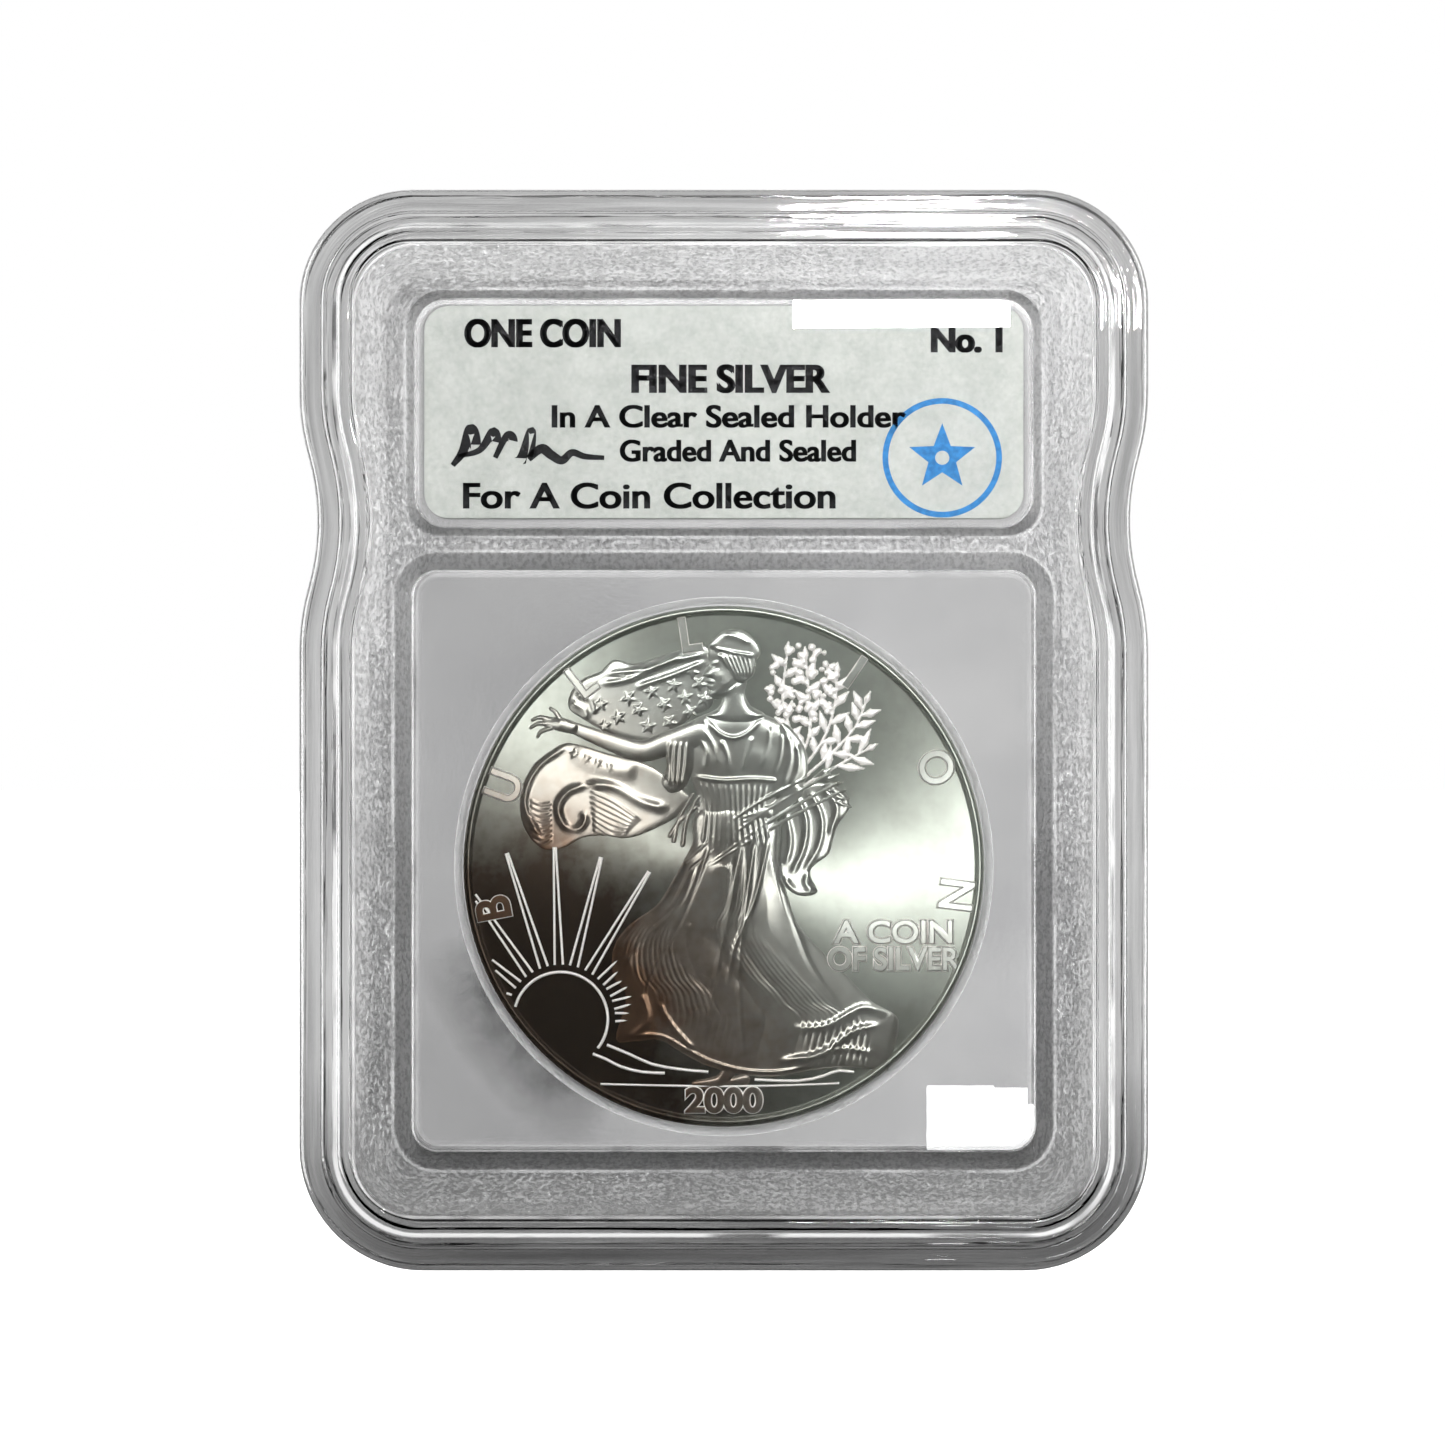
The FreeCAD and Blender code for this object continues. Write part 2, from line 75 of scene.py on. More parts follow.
class Nodes:
    """A short way to build the node tree of one material, or of the world."""

    def __init__(self, name, kind=bpy.data.materials):
        self.owner = kind.new(name)
        self.owner.use_nodes = True
        self.tree = self.owner.node_tree
        self.tree.nodes.clear()

    def add(self, kind, inputs=None, **settings):
        """Adds a node; inputs are values, or sockets of other nodes to link."""
        node = self.tree.nodes.new(kind)
        for key, setting in settings.items():
            setattr(node, key, setting)
        for key, source in (inputs or {}).items():
            if isinstance(source, bpy.types.NodeSocket):
                self.tree.links.new(source, node.inputs[key])
            else:
                node.inputs[key].default_value = source
        return node

    def math(self, operation, first, second=0.0, clamp=False):
        inputs = {0: first, 1: second}
        return self.add("ShaderNodeMath", inputs, operation=operation, use_clamp=clamp).outputs[0]

    def times(self, first, second):
        return self.math("MULTIPLY", first, second)

    def plus(self, first, second, clamp=False):
        return self.math("ADD", first, second, clamp)

    def minus(self, first, second, clamp=False):
        return self.math("SUBTRACT", first, second, clamp)

    def vector(self, operation, first, second=(0, 0, 0)):
        node = self.add("ShaderNodeVectorMath", {0: first, 1: second}, operation=operation)
        return node.outputs["Value" if operation in ("LENGTH", "DOT_PRODUCT") else "Vector"]

    def place(self, system="Object"):
        return self.add("ShaderNodeTexCoord").outputs[system]

    def axes(self, system="Object"):
        """The three coordinates of a point, each as its own value."""
        outputs = self.add("ShaderNodeSeparateXYZ", {0: self.place(system)}).outputs
        return outputs["X"], outputs["Y"], outputs["Z"]

    def from_middle(self, across, level):
        """The flat offset from a point of the slab's face, seen from the front."""
        offset = self.vector("SUBTRACT", self.place(), (across, 0, level))
        return self.vector("MULTIPLY", offset, (1, 0, 1))

    def noise(self, scale, detail=3.0, roughness=0.5, vector=None):
        inputs = {"Scale": scale, "Detail": detail, "Roughness": roughness}
        inputs["Vector"] = vector or self.place()
        return self.add("ShaderNodeTexNoise", inputs).outputs["Fac"]

    def remap(self, value, low, high, new_low, new_high, **settings):
        inputs = {"Value": value, "From Min": low, "From Max": high,
                  "To Min": new_low, "To Max": new_high}
        return self.add("ShaderNodeMapRange", inputs, **settings).outputs["Result"]

    def spread(self, noise, new_low=0.0, new_high=1.0):
        """Stretches the middle of a noise's range, where most of it lies."""
        return self.remap(noise, 0.35, 0.65, new_low, new_high)

    def blend(self, factor, first, second):
        """Mixes two colours."""
        inputs = {0: factor, 6: first, 7: second}
        return self.add("ShaderNodeMix", inputs, data_type="RGBA").outputs[2]

    def bump(self, height, distance, strength=1.0, onto=None):
        inputs = {"Height": height, "Distance": distance, "Strength": strength}
        if onto:
            inputs["Normal"] = onto
        return self.add("ShaderNodeBump", inputs).outputs["Normal"]

    def principled(self, **inputs):
        """The general surface shader; an underscore stands for a space in an input's name."""
        named = {key.replace("_", " "): source for key, source in inputs.items()}
        return self.add("ShaderNodeBsdfPrincipled", named).outputs[0]

    def mix(self, factor, first, second):
        """Mixes two shaders."""
        return self.add("ShaderNodeMixShader", {0: factor, 1: first, 2: second}).outputs[0]

    def finish(self, shader, kind="Material"):
        self.add("ShaderNodeOutput" + kind, {"Surface": shader})
        return self.owner

    def finish_clear(self, shader):
        """Ends a see-through material; light from the lamps passes, slightly dimmed."""
        passing = self.add("ShaderNodeBsdfTransparent", {"Color": grey(0.95)}).outputs[0]
        shadow_ray = self.add("ShaderNodeLightPath").outputs["Is Shadow Ray"]
        return self.finish(self.mix(shadow_ray, shader, passing))


def grey(level):
    return (level, level, level, 1.0)


# ---- clear plastic

def box_depth(nodes, low, high, half, corner, waist=0.0):
    """How far a point lies outside an upright rounded box.

    The waist pulls both sides in round the slab's grip.
    """
    middle, tall = (low + high) / 2, (high - low) / 2
    offset = nodes.vector("ABSOLUTE", nodes.vector("SUBTRACT", nodes.place(), (0, 0, middle)))
    if waist:
        away = nodes.math("ABSOLUTE", nodes.minus(nodes.axes()[2], GRIP_LEVEL))
        pull = nodes.remap(away, 0.0, GRIP_REACH, waist, 0.0, interpolation_type="SMOOTHSTEP")
        shift = nodes.add("ShaderNodeCombineXYZ", {"X": pull}).outputs[0]
        offset = nodes.vector("ADD", offset, shift)
    inner = (half - corner, 1.0, tall - corner)
    beyond = nodes.vector("MAXIMUM", nodes.vector("SUBTRACT", offset, inner))
    return nodes.minus(nodes.vector("LENGTH", beyond), corner)


def window_depth(nodes, grow):
    """How far a point lies outside both windows, grown; the label's grows half as much."""
    low, high, half, corner = COIN_WINDOW
    coin = box_depth(nodes, low - grow, high + grow, half + grow, corner + grow)
    low, high, half, corner = LABEL_WINDOW
    label = box_depth(nodes, low - grow / 2, high + grow / 2, half + grow / 2, corner)
    return nodes.math("MINIMUM", coin, label)


def painted_highlight_lines(nodes, from_pane, from_slope, rim_edge, along):
    """Painted highlights: broken bright lines along the edges of the windows and the rim."""
    lines = None
    for distance, middle, half_width, strength in (
        (from_pane, 0.00007, 0.00007, 0.40), (from_pane, -0.00020, 0.00020, 0.16),
        (from_slope, 0.00008, 0.00012, 0.45), (rim_edge, 0.0, 0.00008, 0.60),
        (rim_edge, 0.0014, 0.00022, 0.75),
    ):
        away = nodes.math("ABSOLUTE", nodes.minus(distance, middle))
        line = nodes.remap(away, half_width * 0.6, half_width * 1.3, strength, 0.0)
        lines = nodes.math("MAXIMUM", lines, line) if lines else line
    breaks = nodes.noise(1.0, 2.0, 0.6, nodes.vector("MULTIPLY", along, (0.2, 3.0, 3.0)))
    return nodes.times(lines, nodes.remap(breaks, 0.40, 0.55, 0.25, 1.0))


def shell_material(name, tint):
    """Moulded clear plastic: glossy, streaked along the rim, stippled round the windows; painted
    shade low down and on the slopes, painted highlights along the edges.
    """
    nodes = Nodes(name)
    across, depth, level = nodes.axes()
    fade = 0.0002
    from_pane, from_slope = window_depth(nodes, 0.0), window_depth(nodes, WINDOW_SLOPE)
    rim_edge = box_depth(nodes, *PANEL, waist=GRIP_DEPTH)

    # Zones: the outer skin, the rim, the textured panel with its slopes, and the slopes.
    skin = nodes.remap(nodes.math("ABSOLUTE", depth), 0.0020, 0.0022, 0.0, 1.0)
    in_rim = nodes.remap(rim_edge, -fade, 0.0, 0.0, 1.0)
    outside_pane = nodes.remap(from_pane, 0.0, fade, 0.0, 1.0)
    texture = nodes.times(skin, nodes.minus(outside_pane, in_rim, True))
    slope = nodes.times(texture, nodes.remap(from_slope, -fade, 0.0, 1.0, 0.0))
    # Painted shade on the window slopes, stronger towards the bottom.
    slope_shade = nodes.times(slope, nodes.remap(level, 0.030, 0.075, 1.0, 0.40))

    # Noise that runs along the rim, and the bumps made from it.
    stretched = {"X": nodes.times(rim_edge, 1500.0), "Y": nodes.times(across, 35.0),
                 "Z": nodes.times(level, 35.0)}
    along = nodes.add("ShaderNodeCombineXYZ", stretched).outputs[0]
    streaks = nodes.noise(1.0, 3.0, 0.6, along)
    stipple = nodes.noise(1.0, 2.0, 0.6, nodes.vector("MULTIPLY", along, (2.8, 75.0, 75.0)))
    lines = painted_highlight_lines(nodes, from_pane, from_slope, rim_edge, along)
    flow = nodes.bump(streaks, 0.00010, nodes.times(in_rim, 0.5))
    grain = nodes.bump(stipple, 0.00010, texture, flow)

    # Painted shade darkens the plastic low down and on the window slopes; the streaks and the dark
    # grains are the plastic's own uneven tone.
    low = nodes.remap(level, 0.0, 0.016, 0.60, 0.0)
    painted_rim_shade_and_streaks = nodes.plus(low, nodes.spread(streaks, 0.24, 0.0), True)
    grain_and_painted_shade = nodes.remap(stipple, 0.36, 0.58, 0.70, 0.20)
    grain_and_painted_shade = nodes.plus(grain_and_painted_shade, nodes.spread(streaks, 0.22, 0.0))
    # Painted shade in the textured panel, darker towards the bottom.
    grain_and_painted_shade = nodes.plus(grain_and_painted_shade, nodes.remap(level, 0.004, 0.045, 0.40, 0.0))
    dark = nodes.plus(nodes.times(texture, grain_and_painted_shade), nodes.times(in_rim, painted_rim_shade_and_streaks), True)
    colour = nodes.blend(dark, tint, grey(0.22))
    colour = nodes.blend(nodes.times(slope_shade, 0.6), colour, grey(0.04))
    # Painted highlights along the edges turn the colour pale.
    colour = nodes.blend(lines, colour, grey(0.8))

    # Bright grains scatter light instead of passing it; the painted highlight lines along the edges
    # do the same.
    patchy = nodes.spread(nodes.noise(160.0, 2.0), 0.55, 1.0)
    bright = nodes.times(nodes.remap(stipple, 0.55, 0.62, 0.0, 0.55), patchy)
    bright = nodes.times(bright, nodes.minus(texture, slope, True))
    bright = nodes.math("MAXIMUM", bright, nodes.times(lines, skin))
    return nodes.finish_clear(nodes.principled(
        Base_Color=colour, Roughness=nodes.times(texture, 0.30), IOR=1.5, Normal=grain,
        Transmission_Weight=nodes.minus(1.0, bright),
        # The same painted shade dims the reflection on the slopes.
        Specular_Tint=nodes.blend(slope_shade, grey(1.0), grey(0.25)),
    ))


def core_material():
    """Clear plate with smoky clouds, painted shade towards the left, a painted shadow of the coin at
    its lower left, and a frosted bevel round the coin's well.
    """
    nodes = Nodes("clear_core")
    cloud = nodes.spread(nodes.noise(60.0, 3.0, 0.6))
    tint = nodes.blend(cloud, (0.80, 0.80, 0.81, 1), grey(0.95))
    # Painted shade: the plate darker towards the left.
    left_shade = nodes.remap(nodes.axes()[0], -0.024, 0.012, 0.45, 0.0)
    tint = nodes.blend(left_shade, tint, grey(0.50))
    # A painted shadow of the coin, at its lower left, darkens the plate next to the well.
    outward = nodes.from_middle(0, COIN_LEVEL * MM)
    reach = nodes.vector("LENGTH", outward)
    lean = nodes.vector("DOT_PRODUCT", nodes.vector("NORMALIZE", outward), (-0.77, 0, -0.64))
    painted_coin_shadow = nodes.times(nodes.remap(lean, 0.90, 0.985, 0.0, 1.0),
                         nodes.remap(reach, 0.0208, 0.0255, 0.9, 0.0))
    painted_coin_shadow = nodes.times(painted_coin_shadow, nodes.remap(nodes.noise(500.0), 0.3, 0.6, 0.6, 1.0))
    tint = nodes.blend(painted_coin_shadow, tint, grey(0.10))
    bevel = nodes.remap(reach, 0.02096, 0.02100, 1.0, 0.0)
    frost = nodes.noise(3500.0, 2.0)
    cloudy = nodes.times(bevel, nodes.remap(frost, 0.3, 0.7, 0.1, 0.6))
    return nodes.finish_clear(nodes.principled(
        Base_Color=nodes.blend(bevel, tint, grey(0.95)), Roughness=nodes.times(bevel, 0.3),
        Transmission_Weight=nodes.minus(1.0, cloudy), IOR=1.5,
        Normal=nodes.bump(frost, 0.000005),
    ))


# ---- silver, paper, ink, foil

def silver_material(name, bright, shade_and_tone_colour):
    """Mint silver; flow lines run out from the middle, so its shine is a bow tie.

    Shade is painted round a point at the lower left and along the bottom, with random toning laid
    over it.
    """
    nodes = Nodes(name)
    # Painted shade round a point at the lower left and along the bottom.
    reach = nodes.vector("LENGTH", nodes.from_middle(-0.017, COIN_LEVEL * MM - 0.008))
    near = nodes.remap(reach, 0.006, 0.026, 1.0, 0.0)
    painted_shade_and_toning = nodes.plus(near, nodes.remap(nodes.axes()[2], 0.010, 0.026, 0.45, 0.0))
    for scale, share in ((150.0, 0.18), (1300.0, 0.08)):
        painted_shade_and_toning = nodes.plus(painted_shade_and_toning, nodes.remap(nodes.noise(scale), 0.42, 0.68, 0.0, share))
    outward = nodes.from_middle(0, COIN_LEVEL * MM)
    around = nodes.vector("NORMALIZE", nodes.vector("CROSS_PRODUCT", outward, (0, 1, 0)))
    grain = nodes.noise(9000.0, 2.0)
    return nodes.finish(nodes.principled(
        Base_Color=nodes.blend(painted_shade_and_toning, (*bright, 1), (*shade_and_tone_colour, 1)), Metallic=1.0,
        Roughness=nodes.remap(grain, 0.3, 0.7, 0.285, 0.305),
        Anisotropic=0.9, Tangent=around, Normal=nodes.bump(grain, 0.000001),
    ))


def frosted_silver_material():
    """Finely frosted silver of the raised letters and thin lines, painted far lighter than the
    field's silver as a highlight.
    """
    nodes = Nodes("frosted_silver")
    grain = nodes.noise(7000.0, 2.0)
    return nodes.finish(nodes.principled(
        Base_Color=nodes.blend(grain, (0.97, 0.93, 0.87, 1), (0.98, 0.98, 0.96, 1)),
        Metallic=1.0, Roughness=nodes.remap(grain, 0.3, 0.7, 0.42, 0.50),
        Normal=nodes.bump(grain, 0.000002),
    ))


def paper_material(name):
    """Coated label paper with faint fibre mottling."""
    nodes = Nodes(name)
    mottle = nodes.noise(380.0, 5.0, 0.65)
    fibre = nodes.noise(2500.0, 2.0, 0.6)
    mixed = nodes.plus(nodes.times(mottle, 0.6), nodes.times(fibre, 0.4))
    mixed = nodes.spread(mixed)
    return nodes.finish(nodes.principled(
        Base_Color=nodes.blend(mixed, (0.45, 0.47, 0.44, 1), (0.58, 0.60, 0.567, 1)),
        Roughness=0.6, Specular_IOR_Level=0.1, Normal=nodes.bump(fibre, 0.00002),
    ))


def ink_material(name, colour):
    """Printing ink that lets a little of the paper's grain show."""
    nodes = Nodes(name)
    grain = nodes.spread(nodes.noise(2200.0, 2.0))
    lighter = tuple(c * 1.5 + 0.003 for c in colour[:3]) + (1,)
    return nodes.finish(nodes.principled(
        Base_Color=nodes.blend(grain, colour, lighter), Roughness=0.55,
        Specular_IOR_Level=0.2, Normal=nodes.bump(grain, 0.00001),
    ))


def foil_material():
    """Metallised foil whose colour drifts in fine diagonal bands."""
    nodes = Nodes("security_foil")
    wave = nodes.add(
        "ShaderNodeTexWave",
        {"Vector": nodes.place(), "Scale": 420.0, "Distortion": 2.0, "Detail": 1.0},
        wave_type="BANDS", bands_direction="DIAGONAL",
    ).outputs["Fac"]
    return nodes.finish(nodes.principled(
        Base_Color=nodes.blend(wave, (0.55, 0.68, 0.80, 1), (0.82, 0.74, 0.62, 1)),
        Metallic=1.0, Roughness=0.22, Normal=nodes.bump(wave, 0.00001),
    ))


FIELD_SILVER = silver_material("field_silver", (0.40, 0.43, 0.38), (0.058, 0.044, 0.033))
# A lighter copy of the field's silver: the relief's extra brightness is painted light.
RELIEF_SILVER = silver_material("relief_silver", (0.58, 0.61, 0.56), (0.16, 0.10, 0.065))
# Frosted silver, painted near white as a highlight.
FROSTED_HIGHLIGHT_SILVER = frosted_silver_material()
BLACK_INK = ink_material("black_ink", (0.004, 0.004, 0.005, 1))
BLUE_INK = ink_material("blue_ink", (0.022, 0.145, 0.35, 1))


def dress_cad_nodes():
    """Gives every CAD node that stays its finished material."""
    looks = {
        "front_shell": shell_material("clear_front", grey(0.97)),
        "back_shell": shell_material("clear_back", grey(0.96)),
        "core_plate": core_material(),
        "coin": FIELD_SILVER,
        "front_label": paper_material("label_paper"),
        "back_label": paper_material("label_paper_back"),
        "security_foil": foil_material(),
    }
    for node, material in looks.items():
        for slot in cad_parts[node].material_slots:
            slot.material = material


# ---- pieces

def new_object(name, data):
    made = bpy.data.objects.new(name, data)
    bpy.context.scene.collection.objects.link(made)
    return made


def add_piece(name, data, material):
    """Links a new piece of the slab, dressed and riding on the slab's only body."""
    piece = new_object(name, data)
    data.materials.append(material)
    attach(piece, "root")
    return piece


def text_mesh(name, curve, place=None):
    """Turns a text or curve into a plain mesh, moved by place."""
    drawn = new_object(name + "_outline", curve)
    graph = bpy.context.evaluated_depsgraph_get()
    mesh = bpy.data.meshes.new_from_object(drawn.evaluated_get(graph))
    mesh.name = name
    mesh.transform(place or Matrix.Identity(4))
    bpy.data.objects.remove(drawn)
    bpy.data.curves.remove(curve)
    return mesh


def field_height(radius):
    """The coin's slightly dished field, highest next to the rim."""
    return FIELD_MIDDLE + FIELD_RISE * (radius / RIM_INNER) ** 2


def coin_profile():
    """Half of the coin's section as (radius, height), from the middle out to the edge."""
    radii = list(np.linspace(0.0, RIM_INNER - 0.3, 13)) + [RIM_INNER - 0.1, RIM_INNER]
    points = [(r, field_height(r)) for r in radii]
    top = COIN_HALF
    points += [
        (RIM_INNER + 0.06, top - 0.10), (RIM_INNER + 0.14, top - 0.02),
        (RIM_INNER + 0.22, top), (COIN_RADIUS - 0.24, top), (COIN_RADIUS - 0.12, top - 0.03),
        (COIN_RADIUS - 0.03, top - 0.12), (COIN_RADIUS, top - 0.24),
    ]
    return points


def build_coin_blank():
    """The coin's body: dished fields, raised rims and a reeded edge."""
    half = coin_profile()
    section = half + [(r, -h) for r, h in reversed(half)]
    edge_rows = {len(half) - 1, len(half)}
    around = 4 * REEDS
    reed_cut = (0.0, 0.05, 0.10, 0.05)
    points, rings = [], []
    for row, (radius, height) in enumerate(section):
        if radius == 0:
            rings.append([len(points)] * around)
            points.append((0.0, -height * MM, COIN_LEVEL * MM))
            continue
        rings.append(list(range(len(points), len(points) + around)))
        for i in range(around):
            angle = 2 * math.pi * i / around
            reach = radius - (reed_cut[i % 4] if row in edge_rows else 0.0)
            points.append((reach * math.cos(angle) * MM, -height * MM,
                           (COIN_LEVEL + reach * math.sin(angle)) * MM))
    faces = []
    for upper, lower in zip(rings[:-1], rings[1:]):
        for i in range(around):
            j = (i + 1) % around
            corners = [upper[i], upper[j], lower[j], lower[i]]
            faces.append(list(dict.fromkeys(corners)))
    mesh = bpy.data.meshes.new("coin_blank")
    mesh.from_pydata(points, [], faces)
    smooth_faces(mesh)
    piece = add_piece("coin_blank", mesh, FIELD_SILVER)
    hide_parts("coin")


def smooth_faces(mesh):
    mesh.polygons.foreach_set("use_smooth", [True] * len(mesh.polygons))
    mesh.update()


# ---- relief tools
# Relief sizes are in millimetres from the coin's middle: across, then up.

def smooth_closed(points, pieces=6):
    """A smooth closed curve through the points, as many short straight runs."""
    p = np.array(points, dtype=float)
    before, after, beyond = np.roll(p, 1, 0), np.roll(p, -1, 0), np.roll(p, -2, 0)
    return spline_runs(before, p, after, beyond, pieces)


def smooth_open(points, pieces=6):
    """A smooth open curve through the points, as many short straight runs."""
    p = np.array(points, dtype=float)
    if len(p) == 2:
        return p
    padded = np.vstack([2 * p[0] - p[1], p, 2 * p[-1] - p[-2]])
    runs = spline_runs(padded[:-3], padded[1:-2], padded[2:-1], padded[3:], pieces)
    return np.vstack([runs, p[-1]])


def spline_runs(before, start, end, beyond, pieces):
    t = np.linspace(0, 1, pieces, endpoint=False)[None, :, None]
    a, b, c, d = (q[:, None, :] for q in (before, start, end, beyond))
    curve = 0.5 * (
        2 * b + (c - a) * t + (2 * a - 5 * b + 4 * c - d) * t**2
        + (3 * b - a - 3 * c + d) * t**3
    )
    return curve.reshape(-1, 2)


def dome(t):
    """Rises steeply from 0 and levels off at 1, as a quarter circle does."""
    t = np.clip(t, 0, 1)
    return np.sqrt(1 - (1 - t) ** 2)


def ease(t):
    t = np.clip(t, 0, 1)
    return t * t * (3 - 2 * t)


def gap_to_run(U, V, start, end):
    """Squared distance to a straight run, and how far along it the nearest point is."""
    (x0, y0), (dx, dy) = start, end - start
    share = np.clip(((U - x0) * dx + (V - y0) * dy) / (dx * dx + dy * dy + 1e-12), 0, 1)
    return (U - x0 - share * dx) ** 2 + (V - y0 - share * dy) ** 2, share


def turned(centre, reach, angle):
    """The point at a distance and an angle from a centre."""
    return (centre[0] + reach * math.cos(angle), centre[1] + reach * math.sin(angle))


def between(start, end, t=0.5):
    return (start[0] + (end[0] - start[0]) * t, start[1] + (end[1] - start[1]) * t)


class Relief:
    """A height above the coin's field at every point of a square grid."""

    def __init__(self, left, right, low, high, step):
        self.u = np.arange(left, right + step / 2, step)
        self.v = np.arange(low, high + step / 2, step)
        self.U, self.V = np.meshgrid(self.u, self.v)
        self.H = np.zeros_like(self.U)
        self.step = step

    def window(self, low, high, margin):
        """The part of the grid round a box, as two slices."""
        i0, i1 = np.searchsorted(self.v, (low[1] - margin, high[1] + margin))
        j0, j1 = np.searchsorted(self.u, (low[0] - margin, high[0] + margin))
        return slice(i0, i1), slice(j0, j1)

    def depth(self, curve, part):
        """How far each point lies inside a closed curve; negative outside."""
        U, V = self.U[part], self.V[part]
        nearest = np.full(U.shape, 1e9)
        inside = np.zeros(U.shape, bool)
        for start, end in zip(curve, np.roll(curve, -1, 0)):
            nearest = np.minimum(nearest, gap_to_run(U, V, start, end)[0])
            (x0, y0), (x1, y1) = start, end
            if y0 != y1:
                inside ^= ((y0 > V) != (y1 > V)) & (U < (V - y0) * (x1 - x0) / (y1 - y0) + x0)
        return np.where(inside, 1, -1) * np.sqrt(nearest)

    def along(self, points, margin):
        """Distance to an open curve, and how far along it the nearest point is, 0 to 1."""
        curve = smooth_open(points)
        part = self.window(curve.min(0), curve.max(0), margin)
        U, V = self.U[part], self.V[part]
        nearest = np.full(U.shape, 1e9)
        place = np.zeros(U.shape)
        lengths = np.hypot(*(curve[1:] - curve[:-1]).T)
        total, gone = lengths.sum(), 0.0
        for start, end, length in zip(curve[:-1], curve[1:], lengths):
            gap, share = gap_to_run(U, V, start, end)
            closer = gap < nearest
            nearest = np.where(closer, gap, nearest)
            place = np.where(closer, (gone + share * length) / total, place)
            gone += length
        return part, np.sqrt(nearest), place

    def lift(self, part, inside, rise):
        """Raises the points inside up to the given rise, where they are lower."""
        self.H[part] = np.where(inside, np.maximum(self.H[part], rise), self.H[part])

    def form(self, points, height, edge, base=0.0, smooth=True):
        """Raises a closed form: steep sides of width edge up to height above base."""
        curve = smooth_closed(points) if smooth else np.array(points, float)
        part = self.window(curve.min(0), curve.max(0), 0.1)
        d = self.depth(curve, part)
        self.lift(part, d > 0, base + height * dome(d / edge))

    def cloth(self, outline, height, edge, base=0.0, soft=0.15):
        """Raises a closed form, and gives the mask that keeps its folds inside it."""
        self.form(outline, height, edge, base)
        full = (slice(None), slice(None))
        return ease(0.5 + self.depth(smooth_closed(outline), full) / soft)

    def limb(self, points, radii, height, base):
        """A rounded limb along a curve, its radius running through the given radii."""
        widest = max(radii)
        part, gap, place = self.along(points, widest)
        radius = np.interp(place, np.linspace(0, 1, len(radii)), radii)
        rise = height * np.sqrt(np.clip(1 - (gap / radius) ** 2, 0, 1)) * (radius / widest)
        self.lift(part, gap < radius, base + rise)

    def bead(self, spot, radius, height, base):
        """A round bead, as a very short limb."""
        self.limb([spot, (spot[0] + 0.01, spot[1])], (radius, radius), height, base)

    def ridge(self, points, width, height, where=None, fade=(0.15, 0.15)):
        """A soft ridge, or a groove if height is negative, that fades at both ends."""
        part, gap, place = self.along(points, 3 * width)
        ends = ease(place / fade[0]) * ease((1 - place) / fade[1]) if fade else 1.0
        bump = height * np.exp(-((gap / width) ** 2)) * ends
        if where is not None:
            bump = bump * where[part]
        self.H[part] += bump

    def ridges(self, lines, width, height, where):
        for line in lines:
            self.ridge(line, width, height, where)


def star_points(centre, radius, turn=0.0):
    reaches = (radius, 0.42 * radius) * 5
    return [turned(centre, reach, math.radians(90 + 36 * i + turn))
            for i, reach in enumerate(reaches)]


def pleats(across, count, sharpness=1.6):
    """Rounded folds with narrow valleys between them; across runs 0 to 1."""
    wave = np.abs(np.sin(np.pi * across * count))
    return wave ** (1 / sharpness)


def loft_across(relief, left, right):
    """How far across between two open curves each point lies, row by row."""
    sides = (smooth_open(side)[::-1] for side in (left, right))
    low, high = (np.interp(relief.v, side[:, 1], side[:, 0])[:, None] for side in sides)
    return (relief.U - low) / (high - low)


def build_relief(name, relief, side, material):
    """Turns a relief into a skin that dips under the field wherever the relief ends."""
    thinnest, sunk = 0.004, -0.04
    raised = relief.H > thinnest
    first, last = slice(None, -1), slice(1, None)
    corners = ((first, first), (first, last), (last, last), (last, first))
    cell = np.any([raised[corner] for corner in corners], axis=0)
    used = np.zeros_like(raised)
    for corner in corners:
        used[corner] |= cell
    number = np.cumsum(used.ravel()).reshape(used.shape) - 1
    rise = np.where(raised, relief.H * RELIEF_SCALE, sunk)
    height = field_height(np.hypot(relief.U, relief.V)) + rise
    points = np.stack(
        [side * relief.U[used], -side * height[used], COIN_LEVEL + relief.V[used]], axis=1
    ) * MM
    faces = np.stack([number[corner][cell] for corner in corners], axis=1)
    mesh = bpy.data.meshes.new(name)
    mesh.from_pydata(points.tolist(), [], faces.tolist())
    smooth_faces(mesh)
    add_piece(name, mesh, material)


# ---- the struck figure

